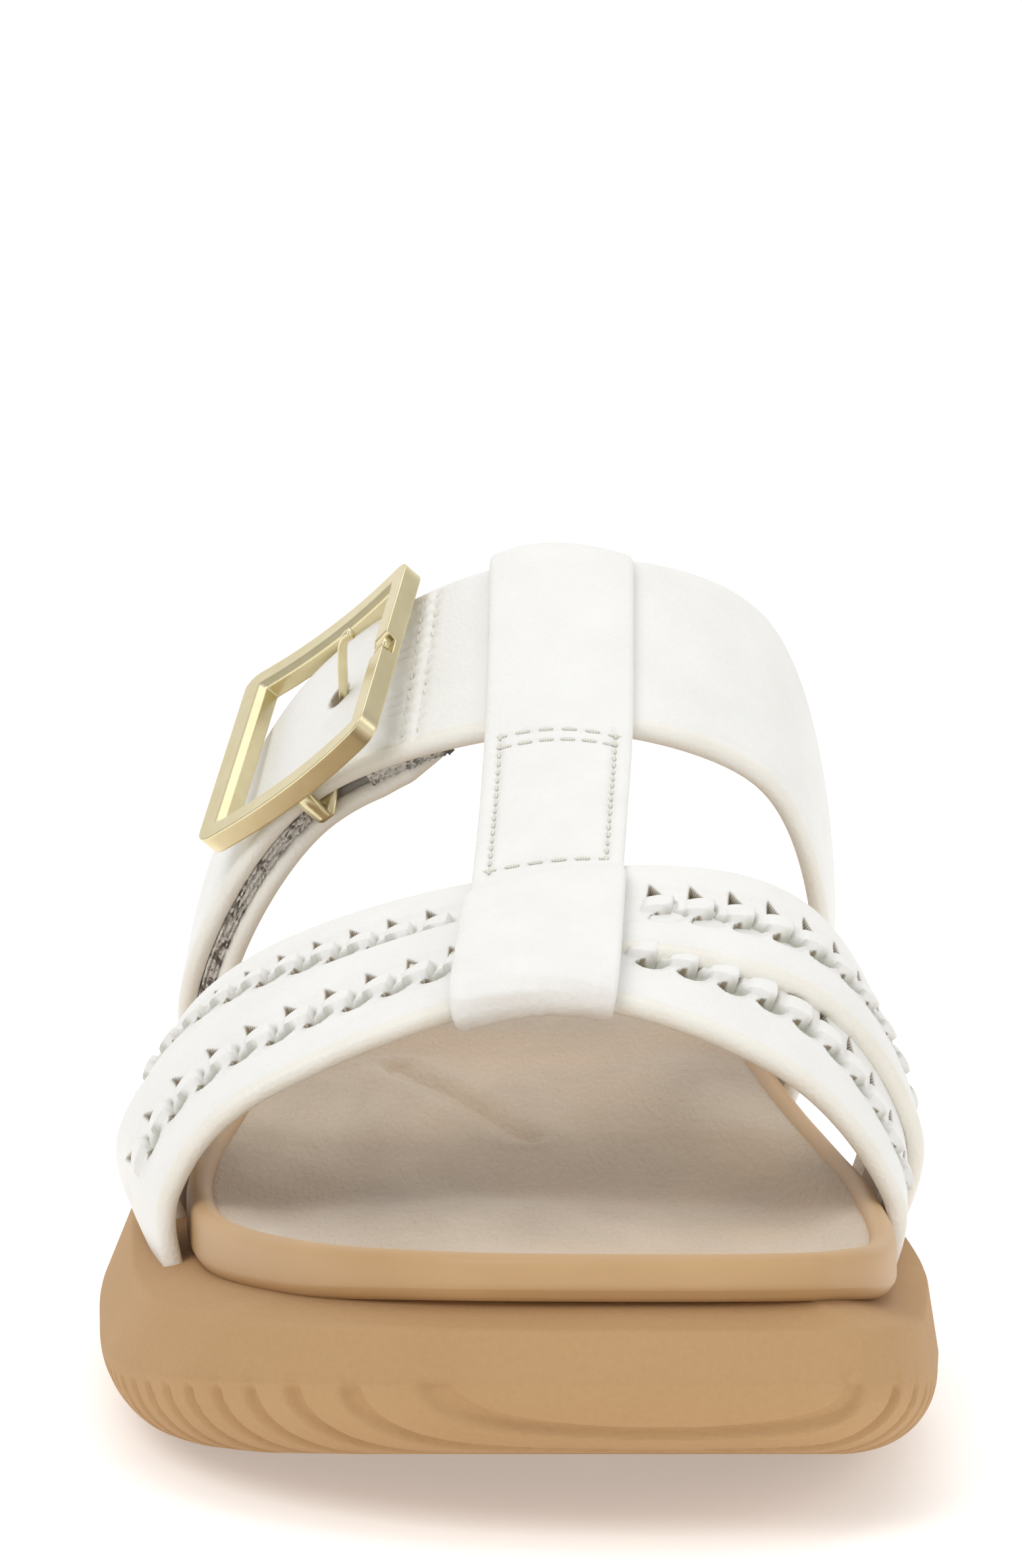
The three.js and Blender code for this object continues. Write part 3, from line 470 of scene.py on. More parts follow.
def bed_top(x, y):
    across, along = x / HALF_WIDTH, y / HALF
    pad = np.exp(-((across + 0.02) / 0.42)**2) * np.exp(-((along + 0.47) / 0.14)**2)
    arch = np.exp(-((across - 0.5) / 0.3)**2) * np.exp(-((along - 0.12) / 0.3)**2)
    heel = np.maximum(along - 0.6, 0) * 11
    return rim_at(y) - DISH_DEPTH - heel + PAD_RISE * pad + 3 * arch


def wrap_material():
    # Coated textile leather, wrapped: satin, fine even leather grain and faint cloudy shade.
    # The grain is drawn at 0.6 mm, coarser than the real one so that it shows; the clouds at 17 mm.
    material, tree, shader = new_material("smooth_tan_wrap", Roughness=0.5, IOR=1.5)
    where = add_node(tree, "ShaderNodeTexCoord").outputs["Object"]
    grain = add_node(tree, "ShaderNodeTexVoronoi", {"Vector": where, "Scale": 1800.0})
    cloud = add_node(tree, "ShaderNodeTexNoise", {"Vector": where, "Scale": 60.0, "Detail": 3.0})
    colour = add_node(tree, "ShaderNodeMix", {"Factor": cloud.outputs["Fac"], "A": linear(WRAP_DEEP),
                                              "B": linear(WRAP_TAN)}, data_type="RGBA")
    drive(shader, Base_Color=colour.outputs[2])
    rough = add_node(tree, "ShaderNodeMapRange", {"Value": cloud.outputs["Fac"], "To Min": 0.42,
                                                  "To Max": 0.6})
    drive(shader, Roughness=rough)
    bump = add_node(tree, "ShaderNodeBump", {"Height": grain.outputs["Distance"], "Strength": 0.12,
                                             "Distance": 0.0001})
    drive(shader, Normal=bump)
    return material


def bed_rings(stations, levels):
    """Rings of the bed's outline, each moved inwards and set to the heights of its points."""
    line = closed_outline(BED_OUTLINE, BED_TIPS, stations)
    rings = []
    for inset, height in levels:
        flat = inset_line(line, inset)
        rings.append(np.column_stack([flat, height(flat[:, 0], flat[:, 1])]))
    return rings


def footbed():
    def base(x, y):
        return junction_at(y) - 0.4

    def under_cover(x, y):
        return bed_top(x, y) - COVER_ROOM

    def wall(share):
        return lambda x, y: junction_at(y) + (rim_at(y) - ROLL_DROP - junction_at(y)) * share

    def roll(turn):
        return lambda x, y: rim_at(y) - ROLL_DROP + ROLL_RADIUS * math.sin(turn)

    levels = [(1.4, base), (0.7, lambda x, y: junction_at(y) + 0.1)]
    levels.append((0.15, lambda x, y: junction_at(y) + 0.9))
    levels += [(0.05, wall(share)) for share in (0.3, 0.55, 0.8)]
    levels += [(ROLL_RADIUS - 1.7 * math.cos(turn), roll(turn))
               for turn in np.linspace(0.1, math.pi - 0.35, 11)]
    levels += [(RIM_WIDTH + 0.6, under_cover), (RIM_WIDTH + 9, under_cover)]
    points, faces = ring_body(bed_rings(260, levels), 3, 8, base, under_cover)
    piece = mesh_object("footbed_wrap", points, faces, wrap_material())
    face_outwards(piece)
    return dress(piece, ["footbed"])


footbed()

# Footbed cover
# Brushed microsuede sheet bonded inside the rim. Its nap lies along the foot, and the light it catches is
# painted into its colour as pale and peachy strokes. One soft crease runs slantwise over it behind the
# woven straps.
COVER_THICKNESS = 1.0
CREASE_DEPTH = 1.5
CREASE_WIDTH = 1.5
# the suede's deep ground colour, and the pale and peach tones painted on it as sheen of the nap
SUEDE_PALE_SHEEN = "CDBBA4"
SUEDE_DEEP = "B5A18A"
SUEDE_PEACH_SHEEN = "CDB08E"
# x and y of places along the crease
CREASE = [(-16, 40), (-14, 34), (-9.7, 26), (-5.2, 15), (-1, 3), (2.3, -4)]


def suede_material():
    # Microsuede, brushed: matte with a soft edge sheen, short directional nap, patches where it is stroked,
    # painted paler and peachier as a painted sheen of the nap.
    # The nap is drawn 0.7 mm wide and 3 mm long, coarser than real nap so that it shows; strokes 13 mm.
    material, tree, shader = new_material("brushed_microsuede", Roughness=0.93, Sheen_Weight=0.35,
                                          Sheen_Roughness=0.5)
    where = add_node(tree, "ShaderNodeTexCoord").outputs["Object"]
    lay = add_node(tree, "ShaderNodeMapping", {"Vector": where, "Scale": (1.0, 0.22, 1.0)})
    nap = add_node(tree, "ShaderNodeTexNoise", {"Vector": lay, "Scale": 1500.0, "Detail": 3.0})
    stroke_lay = add_node(tree, "ShaderNodeMapping", {"Vector": where, "Scale": (1.0, 0.35, 1.0),
                                                      "Rotation": (0, 0, 0.35)})
    stroke = add_node(tree, "ShaderNodeTexNoise", {"Vector": stroke_lay, "Scale": 75.0, "Detail": 4.0,
                                                   "Distortion": 0.6})
    # Painted sheen: the stroked patches turn paler where the nap would catch the light.
    sheen_patch = add_node(tree, "ShaderNodeMapRange", {"Value": stroke.outputs["Fac"], "From Min": 0.2,
                                                  "From Max": 0.85})
    colour = add_node(tree, "ShaderNodeMix", {"Factor": sheen_patch, "A": linear(SUEDE_DEEP),
                                              "B": linear(SUEDE_PALE_SHEEN)}, data_type="RGBA")
    # Painted sheen: a peachy tone laid over some patches where the nap would catch the light.
    warm = add_node(tree, "ShaderNodeTexNoise", {"Vector": where, "Scale": 28.0, "Detail": 2.0})
    peach_sheen_share = add_node(tree, "ShaderNodeMapRange", {"Value": warm.outputs["Fac"], "From Min": 0.45,
                                                       "From Max": 0.7, "To Max": 0.6})
    peach = add_node(tree, "ShaderNodeMix", {"Factor": peach_sheen_share, "A": colour.outputs[2],
                                             "B": linear(SUEDE_PEACH_SHEEN)}, data_type="RGBA")
    drive(shader, Base_Color=peach.outputs[2])
    bump = add_node(tree, "ShaderNodeBump", {"Height": nap.outputs["Fac"], "Strength": 0.8,
                                             "Distance": 0.0005})
    drive(shader, Normal=bump)
    return material


def near_line(x, y, line):
    """Distance in millimetres from points to a line through a few places."""
    line = np.array(line, float)
    best = np.full(np.shape(x), 1e9)
    for a, b in zip(line[:-1], line[1:]):
        d = b - a
        t = np.clip(((x - a[0]) * d[0] + (y - a[1]) * d[1]) / (d @ d), 0, 1)
        best = np.minimum(best, np.hypot(x - a[0] - t * d[0], y - a[1] - t * d[1]))
    return best


def footbed_cover():
    def skin(x, y):
        away = near_line(x, y, CREASE)
        swell = 0.35 * np.exp(-((away - 4.5) / 2.2)**2)
        return bed_top(x, y) - CREASE_DEPTH * np.exp(-(away / CREASE_WIDTH)**2) + swell

    def lip(x, y):
        return np.minimum(rim_at(y) - 0.9, bed_top(x, y) + 1.4)

    def back(x, y):
        return bed_top(x, y) - COVER_THICKNESS

    def slope(share):
        ease = share * share * (3 - 2 * share)
        return lambda x, y: lip(x, y) * (1 - ease) + skin(x, y) * ease

    edge = RIM_WIDTH - 0.6
    levels = [(RIM_WIDTH + 6, back), (edge, lambda x, y: lip(x, y) - COVER_THICKNESS)]
    levels += [(edge + 9.6 * share, slope(share)) for share in np.linspace(0, 1, 12)]
    points, faces = ring_body(bed_rings(300, levels), 3, 60, back, skin)
    piece = mesh_object("footbed_suede", points, faces, suede_material())
    face_outwards(piece)
    return dress(piece, ["footbed_cover"])


footbed_cover()

# Woven straps
# Two soft white nappa leather straps, about 25 mm wide, that cross over each other at the sides and go
# down into the sole. Their front edges are piped. A band along the middle of each is slit and twisted
# through itself, which leaves raised flaps, leaf-shaped hollows with the flesh side out, and small holes
# whose insides hold painted shade.
STRAP_THICKNESS = 2.5
PIPING_RADIUS = 1.3
LAYER_STEP = 1.3
WEAVE_PITCH = 5.3
WEAVE_STEP = 0.24
WEAVE_REACH = 0.37
FLAP_HALF_LENGTH = 1.85
FLAP_HALF_WIDTH = 1.5
HOLE_DEPTH = 1.9
# how far a hole's painted shade reaches up to its rim
HOLE_SPREAD = 30
T_HALF_WIDTH = 9.5
LEATHER_WHITE = "F2F1EE"
LEATHER_SHADE = "E7E6E2"
PIPING_CREAM = "F1F0EA"
PIPING_SHADE = "E6E0D2"
LINING_BEIGE = "CFC6BA"
LINING_SHADE = "BFB5A8"
# grey of the flesh side, also painted in the groove beside each flap as the flap's shadow
FLESH_AND_SHADOW_GREY = "B7B6A8"
# painted shade for the insides of the straps' holes and the prong's hole
HOLE_PAINTED_SHADE = "8A7D66"
# y, then x and z at seven places from the lateral to the medial side of the foot
FOOT_SECTIONS = [
    (-75, -37, 15.5, -37.0, 26, -27.0, 38.5, 2.0, 47.6, 29.0, 42.5, 46.5, 26, 46.0, 15.5),
    (-60, -40.5, 15.5, -41.2, 28.5, -29.8, 42.0, 3.0, 54.4, 32.8, 46.4, 48.7, 28.5, 47.6, 15.5),
    (-30, -43.2, 15.5, -49.0, 34, -32.0, 52.0, 8.0, 66.4, 35.8, 60.4, 50.3, 35, 46.8, 15.5),
    (10, -40.5, 18.0, -45.0, 39, -29.4, 62.1, 5.0, 81.0, 33.0, 69.6, 43.4, 44, 39.5, 18.0),
    (36, -38.5, 20.0, -45.4, 42.5, -27.7, 77.8, 3.0, 100.8, 34.8, 86.5, 44.4, 47, 36.8, 20.0),
    (64, -38.0, 23.0, -45.4, 46, -27.8, 93.6, 3.0, 121.0, 36.0, 103.0, 46.2, 51, 35.2, 23.0)]
# front and rear y of a strap at the same seven places
FRONT_STRAP = [(-60.5, -35.5), (-59.0, -34.5), (-60.0, -36.0), (-61.4, -39.0), (-61.0, -37.0),
               (-58.5, -34.5), (-60.0, -35.5)]
REAR_STRAP = [(-29.0, -5.5), (-30.0, -7.0), (-39.5, -18.0), (-51.0, -31.0), (-47.0, -26.5),
              (-37.5, -14.5), (-32.0, -9.5)]


def across_seven(rows, share):
    """A smooth curve through seven rows that stand at equal steps of the share."""
    place = np.clip(share, 0, 1) * 6
    i = np.clip(place.astype(int), 0, 5)
    t = (place - i)[..., None]

    def pick(k):
        return np.take_along_axis(rows, k[..., None, None], -2)[..., 0, :]

    low, high = pick(i), pick(i + 1)
    slope_low = np.where((i > 0)[..., None], (high - pick(np.maximum(i - 1, 0))) / 2, high - low)
    slope_high = np.where((i < 5)[..., None], (pick(np.minimum(i + 2, 6)) - low) / 2, high - low)
    return cubic(low, high, slope_low, slope_high, t)


def foot_point(y, share):
    """A point of the foot's surface: y along the foot, share from its lateral to its medial side."""
    y, share = np.broadcast_arrays(np.asarray(y, float), np.asarray(share, float))
    rows = through(FOOT_SECTIONS, y).reshape(y.shape + (7, 2))
    x, z = np.moveaxis(across_seven(rows, share), -1, 0)
    return np.stack([x, y, z], -1)


def foot_frame(y, share):
    """The point of the foot's surface with its outward normal."""
    y, share = np.broadcast_arrays(np.asarray(y, float), np.asarray(share, float))
    along = foot_point(y + 0.5, share) - foot_point(y - 0.5, share)
    across = foot_point(y, np.minimum(share + 0.01, 1)) - foot_point(y, np.maximum(share - 0.01, 0))
    across /= np.linalg.norm(across, axis=-1)[..., None]
    normal = np.cross(across, along)
    normal /= np.linalg.norm(normal, axis=-1)[..., None]
    return foot_point(y, share), normal


def strap_edges(edges, share):
    share = np.asarray(share, float)
    rows = np.broadcast_to(np.array(edges, float), share.shape + (7, 2))
    front, rear = np.moveaxis(across_seven(rows, share), -1, 0)
    return front, rear


def strap_stations(edges, low, high, spacing):
    """Shares at equal distances along a strap's middle, with their distance from its share of one half."""
    fine = np.linspace(low, high, 900)
    front, rear = strap_edges(edges, fine)
    middle = foot_point((front + rear) / 2, fine)
    travel = np.concatenate([[0], np.cumsum(np.linalg.norm(np.diff(middle, axis=0), axis=1))])
    count = int(travel[-1] / spacing) + 1
    even = np.linspace(0, travel[-1], count)
    return np.interp(even, travel, fine), even - np.interp(0.5, fine, travel)


def sweep_faces(count, columns):
    """Faces of a closed cross-section swept along its stations, with both ends capped."""
    i = np.arange(count - 1)[:, None] * columns
    j = np.arange(columns)[None, :]
    k = (j + 1) % columns
    faces = np.stack([i + j, i + k, i + columns + k, i + columns + j], -1).reshape(-1, 4).tolist()
    last = (count - 1) * columns
    faces.append(list(range(columns))[::-1])
    faces.append([last + c for c in range(columns)])
    return faces


def edge_round(centre_v, centre_h, radius, start, end, count):
    """Points (distance from the front edge, height) on a turned edge."""
    turns = np.radians(np.linspace(start, end, count))
    return [(centre_v + radius * math.cos(a), centre_h + radius * math.sin(a)) for a in turns]


def leather_material(name, light, shade, roughness):
    # Nappa leather, dyed and finished: soft low sheen, fine pebble grain and faint handling waves.
    # The pebbles are drawn at 0.7 mm, somewhat coarser than real ones so that they show; waves 8 mm.
    material, tree, shader = new_material(name, Roughness=roughness, IOR=1.5, Subsurface_Weight=0.05,
                                          Subsurface_Scale=0.001)
    where = add_node(tree, "ShaderNodeTexCoord").outputs["Object"]
    pebble = add_node(tree, "ShaderNodeTexVoronoi", {"Vector": where, "Scale": 1500.0})
    wave = add_node(tree, "ShaderNodeTexNoise", {"Vector": where, "Scale": 130.0, "Detail": 4.0})
    colour = add_node(tree, "ShaderNodeMix", {"Factor": wave.outputs["Fac"], "A": linear(shade),
                                              "B": linear(light)}, data_type="RGBA")
    # The flesh side's grey, which beside each flap is painted shadow of the flap.
    flesh_and_shadow = add_node(tree, "ShaderNodeAttribute", attribute_name="flesh_side_and_shadow")
    bare = add_node(tree, "ShaderNodeMix", {"Factor": flesh_and_shadow.outputs["Fac"], "A": colour.outputs[2],
                                            "B": linear(FLESH_AND_SHADOW_GREY)}, data_type="RGBA")
    # Painted shade: this attribute darkens the insides of the holes.
    deep = add_node(tree, "ShaderNodeAttribute", attribute_name="hole_painted_shade")
    shaded = add_node(tree, "ShaderNodeMix", {"Factor": deep.outputs["Fac"], "A": bare.outputs[2],
                                              "B": linear(HOLE_PAINTED_SHADE)}, data_type="RGBA")
    drive(shader, Base_Color=shaded.outputs[2])
    relief = add_node(tree, "ShaderNodeMath", {0: wave.outputs["Fac"], 1: 1.6,
                                               2: pebble.outputs["Distance"]}, operation="MULTIPLY_ADD")
    bump = add_node(tree, "ShaderNodeBump", {"Height": relief, "Strength": 0.3, "Distance": 0.00022})
    drive(shader, Normal=bump)
    return material


leather = leather_material("white_nappa_leather", LEATHER_WHITE, LEATHER_SHADE, 0.5)
piping = leather_material("cream_piping_leather", PIPING_CREAM, PIPING_SHADE, 0.42)
lining = leather_material("beige_lining_leather", LINING_BEIGE, LINING_SHADE, 0.75)


def strap_body(name, edges, shares, columns, heights, materials, column_material):
    """A strap from its columns (distance from the front edge) and heights at each station."""
    front, rear = strap_edges(edges, shares)
    y = front[:, None] + columns
    point, normal = foot_frame(y, np.broadcast_to(shares[:, None], y.shape))
    points = (point + normal * heights[..., None]).reshape(-1, 3)
    faces = sweep_faces(len(shares), columns.shape[1])
    piece = mesh_object(name, points, faces, materials[0])
    for extra in materials[1:]:
        piece.data.materials.append(extra)
    indices = np.zeros(len(faces), np.int32)
    indices[:-2] = np.tile(column_material, len(shares) - 1)
    piece.data.polygons.foreach_set("material_index", indices)
    face_outwards(piece)
    return piece


def strap_profile(width, columns, thickness=STRAP_THICKNESS):
    """The closed section at each station: distances from the front edge, heights and materials.

    The columns of the outer face are given as a distance and a share of the width, added together."""
    half = thickness / 2
    fixed_v, share_v, heights, paint = [], [], [], []

    def put(a, b, h, m):
        fixed_v.append(a)
        share_v.append(b)
        heights.append(h)
        paint.append(m)

    for v, h in edge_round(PIPING_RADIUS, -half, PIPING_RADIUS, 250, 78, 14):
        put(v, 0, h, 1)
    put(PIPING_RADIUS + 0.62, 0, -0.07, 1)
    put(PIPING_RADIUS + 0.9, 0, -0.17, 0)
    put(PIPING_RADIUS + 1.25, 0, -0.15, 0)
    put(PIPING_RADIUS + 1.7, 0, -0.05, 0)
    put(PIPING_RADIUS + 2.3, 0, 0, 0)
    for distance, part in columns:
        put(distance, part, 0, 0)
    put(-1.4, 1, 0, 0)
    for v, h in edge_round(-half * 0.8, -half, half, 88, -88, 8):
        put(v, 1, h, 0)
    for c in (-4, 0.0, 4.0):
        put(-c * 1.5, 0.5, -thickness, 2)
    put(PIPING_RADIUS + 1.6, 0, -thickness, 2)
    v = np.array(fixed_v)[None, :] + np.array(share_v)[None, :] * width[:, None]
    return v, np.tile(heights, (len(width), 1)), np.array(paint)


def inside(distance, softness):
    """One where a distance is below nought and nought above it, with a soft edge."""
    return 1 / (1 + np.exp(np.clip(distance / softness, -40, 40)))


def weave_relief(along, across, hole_shift, leaf_length):
    """Height, flesh side with painted flap shadow, and painted hole shade of one slit-and-twist unit, in
    millimetres from its flap.
    """
    off_flap = np.maximum(np.abs(along) - FLAP_HALF_LENGTH, np.abs(across + 0.1) - FLAP_HALF_WIDTH)
    flap = inside(off_flap, 0.05)
    sides = (np.abs(along + 0.5 * across - 0.4) - 0.45 * (3.7 - across)) * 0.85
    peak = inside(np.maximum(1.7 - across, sides), 0.06)
    a, b = along - hole_shift, across + 2.55
    hole = inside((np.hypot(a / 0.6, b / 0.5) - 1) * 0.7, 0.06)
    c, d = along - hole_shift - 1.5, across + 2.4 - 0.3 * (along - hole_shift - 1.5)
    lens = np.abs(d) / 1.1 + (c / leaf_length)**2 - 1
    leaf = inside(lens * 0.7, 0.09)
    lip = np.exp(-((lens - 0.25) / 0.3)**2)
    turn = np.exp(-((along - 2.05 + 0.12 * across**2) / 0.28)**2) * inside(np.abs(across + 0.4) - 1.6, 0.25)
    height = flap * (0.6 + 0.1 * along - 0.04 * along**2 - 0.08 * across) - leaf
    height += 0.25 * lip * (1 - flap)
    height -= 0.8 * turn * (1 - flap)
    # The turn's groove beside the flap takes the flesh side's grey as a painted shadow of the flap.
    return height, np.maximum(leaf, turn * (1 - flap)), np.maximum(peak, hole)


def woven_strap(name, edges, layer, hole_shift, leaf_length):
    """A woven strap. Its layer says on which side, 1 lateral or -1 medial, it lies over the other one."""
    shares, travel = strap_stations(edges, 0, 1, WEAVE_STEP)
    front, rear = strap_edges(edges, shares)
    width = rear - front
    v, heights, paint = strap_profile(width, [(c, 0.5) for c in np.arange(-6.1, 7.3, WEAVE_STEP)])
    across = v - 0.5 * width[:, None]
    outer = (heights > -0.01) & (np.abs(across) < 6.6)
    along = travel[:, None]
    first = T_HALF_WIDTH + WEAVE_PITCH * 0.4
    relief, flesh_and_shadow, shade, zone = (np.zeros_like(v) for _ in range(4))
    for side in (-1, 1):
        limit = side * np.interp(0.5 + side * WEAVE_REACH, shares, travel)
        count = int((limit - first) / WEAVE_PITCH) + 1
        for k in range(count):
            centre = side * (first + k * WEAVE_PITCH)
            near = np.abs(along - centre) < 6
            rows = np.where(near[:, 0])[0]
            part = slice(rows[0], rows[-1] + 1)
            h, f, s = weave_relief(along[part] - centre, across[part] - 0.4, hole_shift[side > 0],
                                   leaf_length)
            relief[part] = np.where(np.abs(h) > np.abs(relief[part]), h, relief[part])
            flesh_and_shadow[part] = np.maximum(flesh_and_shadow[part], f)
            shade[part] = np.maximum(shade[part], s)
        span = inside(first - 3.4 - side * along, 0.5) * inside(side * along - limit - 3.2, 0.5)
        zone = np.maximum(zone, span * inside(np.abs(across - 0.2) - 3.9, 0.3))
    flap_free = np.clip(1 - relief / 0.6, 0, 1)
    relief -= 0.35 * zone * flap_free + HOLE_DEPTH * shade
    heights = heights + outer * relief + layer * LAYER_STEP * np.cos(np.pi * shares)[:, None]
    piece = strap_body(name, edges, shares, v, heights, (leather, piping, lining), paint)
    # Flesh side in the leaf hollows, and painted shadow of the flaps in the grooves beside them.
    mark(piece, "flesh_side_and_shadow", outer * flesh_and_shadow)
    # Painted shade inside the holes, reaching up their walls to the rims.
    mark(piece, "hole_painted_shade", outer * np.minimum(HOLE_SPREAD * shade, 1))
    return dress(piece, ["upper"])


woven_strap("woven_strap_front", FRONT_STRAP, 1, (1.4, 0.3), 1.9)
woven_strap("woven_strap_rear", REAR_STRAP, -1, (1.2, 0.2), 2.3)

# T-strap
# One leather strip that comes over the instep strap, runs down the middle, loops round both woven
# straps and back up behind itself. A boxed row of stitches holds the loop, and below it the leather
# bulges over the straps and wrinkles in a rounded fold.
T_THICKNESS = 1.4
# y and x of the strap's middle
T_PATH = [(-66, 2.5), (-30, 4.9), (10, 6.4), (40, 7.0)]
# y and height above the foot of the strap's mid-thickness, from the end behind the instep to the end below
T_ROUTE = [(14, -3.9), (30, -3.9), (36.0, -3.7), (37.7, -2.2), (37.6, -0.2), (35.8, 1.0), (30, 1.05),
           (12, 1.0), (-10, 1.0), (-28, 1.0), (-33.5, 1.05), (-37, 1.7), (-42, 2.0), (-54, 2.0),
           (-59.4, 1.95), (-61.7, 1.25), (-62.7, -0.1), (-62.5, -1.5), (-61.0, -2.7), (-57, -3.3),
           (-46, -4.0)]
LOOP_START = 35.5
ROW_GAP = 2.6
BOX_TOP = 5.5
BOX_BOTTOM = -31.5
BOX_SIDE = 7.3
BOX_SLANT = -0.15
# pitch and length of a stitch
ROW_STITCH = (2.7, 2.1)
SIDE_STITCH = (2.2, 1.7)
THREAD_WHITE = "E9E7DF"
THREAD_SHADE = "D2CEC2"


def share_at_x(y, x):
    """The share across the foot at which its surface has this x."""
    low = np.full(y.shape, 0.2)
    high = np.full(y.shape, 0.8)
    for _ in range(18):
        middle = (low + high) / 2
        left = foot_point(y, middle)[..., 0] < x
        low = np.where(left, middle, low)
        high = np.where(left, high, middle)
    return (low + high) / 2


def on_t_strap(y, across, height):
    """A point of the T-strap: y, millimetres from its middle, height above the foot."""
    y, across, height = np.broadcast_arrays(np.asarray(y, float), across, height)
    centre = through(T_PATH, y)[..., 0]
    point, normal = foot_frame(y, share_at_x(y, centre + across))
    return point + normal * height[..., None], normal


def smooth_route(route, steps):
    """Points along a smooth open curve through a few places."""
    route = np.array(route, float)
    ends = np.vstack([2 * route[0] - route[1], route, 2 * route[-1] - route[-2]])
    points = []
    for p0, p1, p2, p3 in zip(ends, ends[1:], ends[2:], ends[3:]):
        count = max(2, int(np.linalg.norm(p2 - p1) / steps) + 1)
        for t in np.linspace(0, 1, count, endpoint=False):
            points.append(between_places(p0, p1, p2, p3, t))
    return np.array(points + [route[-1]])


def t_strap():
    route = smooth_route(T_ROUTE, 0.5)
    tangent = np.gradient(route, axis=0)
    tangent /= np.linalg.norm(tangent, axis=1)[:, None]
    lift = np.column_stack([tangent[:, 1], -tangent[:, 0]])
    half = T_THICKNESS / 2
    outer = [(a, half) for a in np.linspace(-T_HALF_WIDTH + 0.9, T_HALF_WIDTH - 0.9, 62)]
    section = outer + edge_round(T_HALF_WIDTH - half, 0, half, 75, -75, 6)
    section += [(a, -half) for a in np.linspace(T_HALF_WIDTH - 1.1, -T_HALF_WIDTH + 1.1, 12)]
    section += edge_round(-T_HALF_WIDTH + half, 0, half, 255, 105, 6)
    across, depth = np.array(section).T[:, None, :]
    y_mid, h_mid = route[:, :1], route[:, 1:]
    front = (np.arange(len(route)) > np.argmax(route[:, 0]))[:, None] & (lift[:, 1:] > 0.5)
    loop = inside(y_mid + LOOP_START, 0.5)
    across = across * (1 + 0.045 * loop)
    side = np.abs(np.abs(across) - BOX_SIDE)
    inside_box = (y_mid < BOX_TOP + 0.5) & (y_mid > BOX_BOTTOM - 0.5)
    seam = np.exp(-(side / 0.55)**2) * inside_box
    for row in (BOX_TOP, BOX_TOP - ROW_GAP, BOX_BOTTOM):
        off_row = y_mid - row - BOX_SLANT * across
        seam = np.maximum(seam, np.exp(-(off_row / 0.6)**2) * (np.abs(across) < BOX_SIDE + 0.4))
    puff = 0.22 * loop * (1 - (across / (T_HALF_WIDTH + 0.3))**2)
    fold = np.exp(-((y_mid + 61.6) / 2.2)**2)
    wrinkle = fold * (np.sin(across * 1.9 + 1.2 * np.sin(across * 0.7)) * 0.07
                      + np.sin(y_mid * 4.1 + across * 0.35) * 0.08)
    depth = depth + (depth > half * 0.9) * front * (puff - 0.42 * seam) + (depth > half * 0.9) * wrinkle
    y = y_mid + depth * lift[:, :1]
    height = h_mid + depth * lift[:, 1:]
    points, _ = on_t_strap(y, np.broadcast_to(across, y.shape), height)
    faces = sweep_faces(len(route), y.shape[1])
    piece = mesh_object("t_strap", points.reshape(-1, 3), faces, leather)
    face_outwards(piece)
    return dress(piece, ["upper"])


def thread_material():
    # Bonded polyester thread: off-white, with the slight gloss and twist lines of the yarn.
    # The twist lines stand about 0.35 mm apart.
    material, tree, shader = new_material("bonded_white_thread", Roughness=0.6, Sheen_Weight=0.2)
    where = add_node(tree, "ShaderNodeTexCoord").outputs["Object"]
    twist = add_node(tree, "ShaderNodeTexWave", {"Vector": where, "Scale": 900.0, "Distortion": 2.0})
    colour = add_node(tree, "ShaderNodeMix", {"Factor": twist.outputs["Fac"], "A": linear(THREAD_SHADE),
                                              "B": linear(THREAD_WHITE)}, data_type="RGBA")
    drive(shader, Base_Color=colour.outputs[2])
    bump = add_node(tree, "ShaderNodeBump", {"Height": twist.outputs["Fac"], "Strength": 0.3,
                                             "Distance": 0.00008})
    drive(shader, Normal=bump)
    return material


thread = thread_material()


def stitch_tree():
    """Lays a rounded stitch at every pitch along seam lines, turned by the up attribute."""
    tree, given = new_tree("seam_stitches", Pitch=2.7, Length=2.0, Thickness=0.55)
    curve = add_node(tree, "GeometryNodeMeshToCurve", {"Mesh": given["Geometry"]})
    even = add_node(tree, "GeometryNodeResampleCurve", {"Curve": curve, "Length": given["Pitch"]},
                    mode="LENGTH")
    tangent = add_node(tree, "GeometryNodeInputTangent")
    up = add_node(tree, "GeometryNodeInputNamedAttribute", {"Name": "up"}, data_type="FLOAT_VECTOR")
    along = add_node(tree, "FunctionNodeAlignRotationToVector", {"Vector": tangent}, axis="X")
    turned = add_node(tree, "FunctionNodeAlignRotationToVector", {"Rotation": along,
                                                                  "Vector": up}, axis="Z", pivot_axis="X")
    bead = add_node(tree, "GeometryNodeMeshUVSphere", {"Segments": 8, "Rings": 6, "Radius": 0.5})
    size = add_node(tree, "ShaderNodeCombineXYZ", {"X": given["Length"], "Y": given["Thickness"],
                                                   "Z": given["Thickness"]})
    smooth = add_node(tree, "GeometryNodeSetShadeSmooth", {"Geometry": bead.outputs["Mesh"]})
    laid = add_node(tree, "GeometryNodeInstanceOnPoints", {"Points": even, "Instance": smooth,
                                                           "Rotation": turned, "Scale": size})
    return close_tree(tree, laid, given["Material"])


stitching = stitch_tree()


def seam(name, points, ups, pitch, length, thickness=0.5):
    """Stitches along an open line of points whose surface normals are known."""
    edges = [(i, i + 1) for i in range(len(points) - 1)]
    mesh = bpy.data.meshes.new(name)
    mesh.from_pydata((np.asarray(points) * MM).tolist(), edges, [])
    piece = bpy.data.objects.new(name, mesh)
    bpy.context.scene.collection.objects.link(piece)
    mark(piece, "up", ups, "FLOAT_VECTOR", "vector")
    run_tree(piece, stitching, Pitch=pitch * MM, Length=length * MM, Thickness=thickness * MM,
             Material=thread)
    return dress(piece, ["upper"])


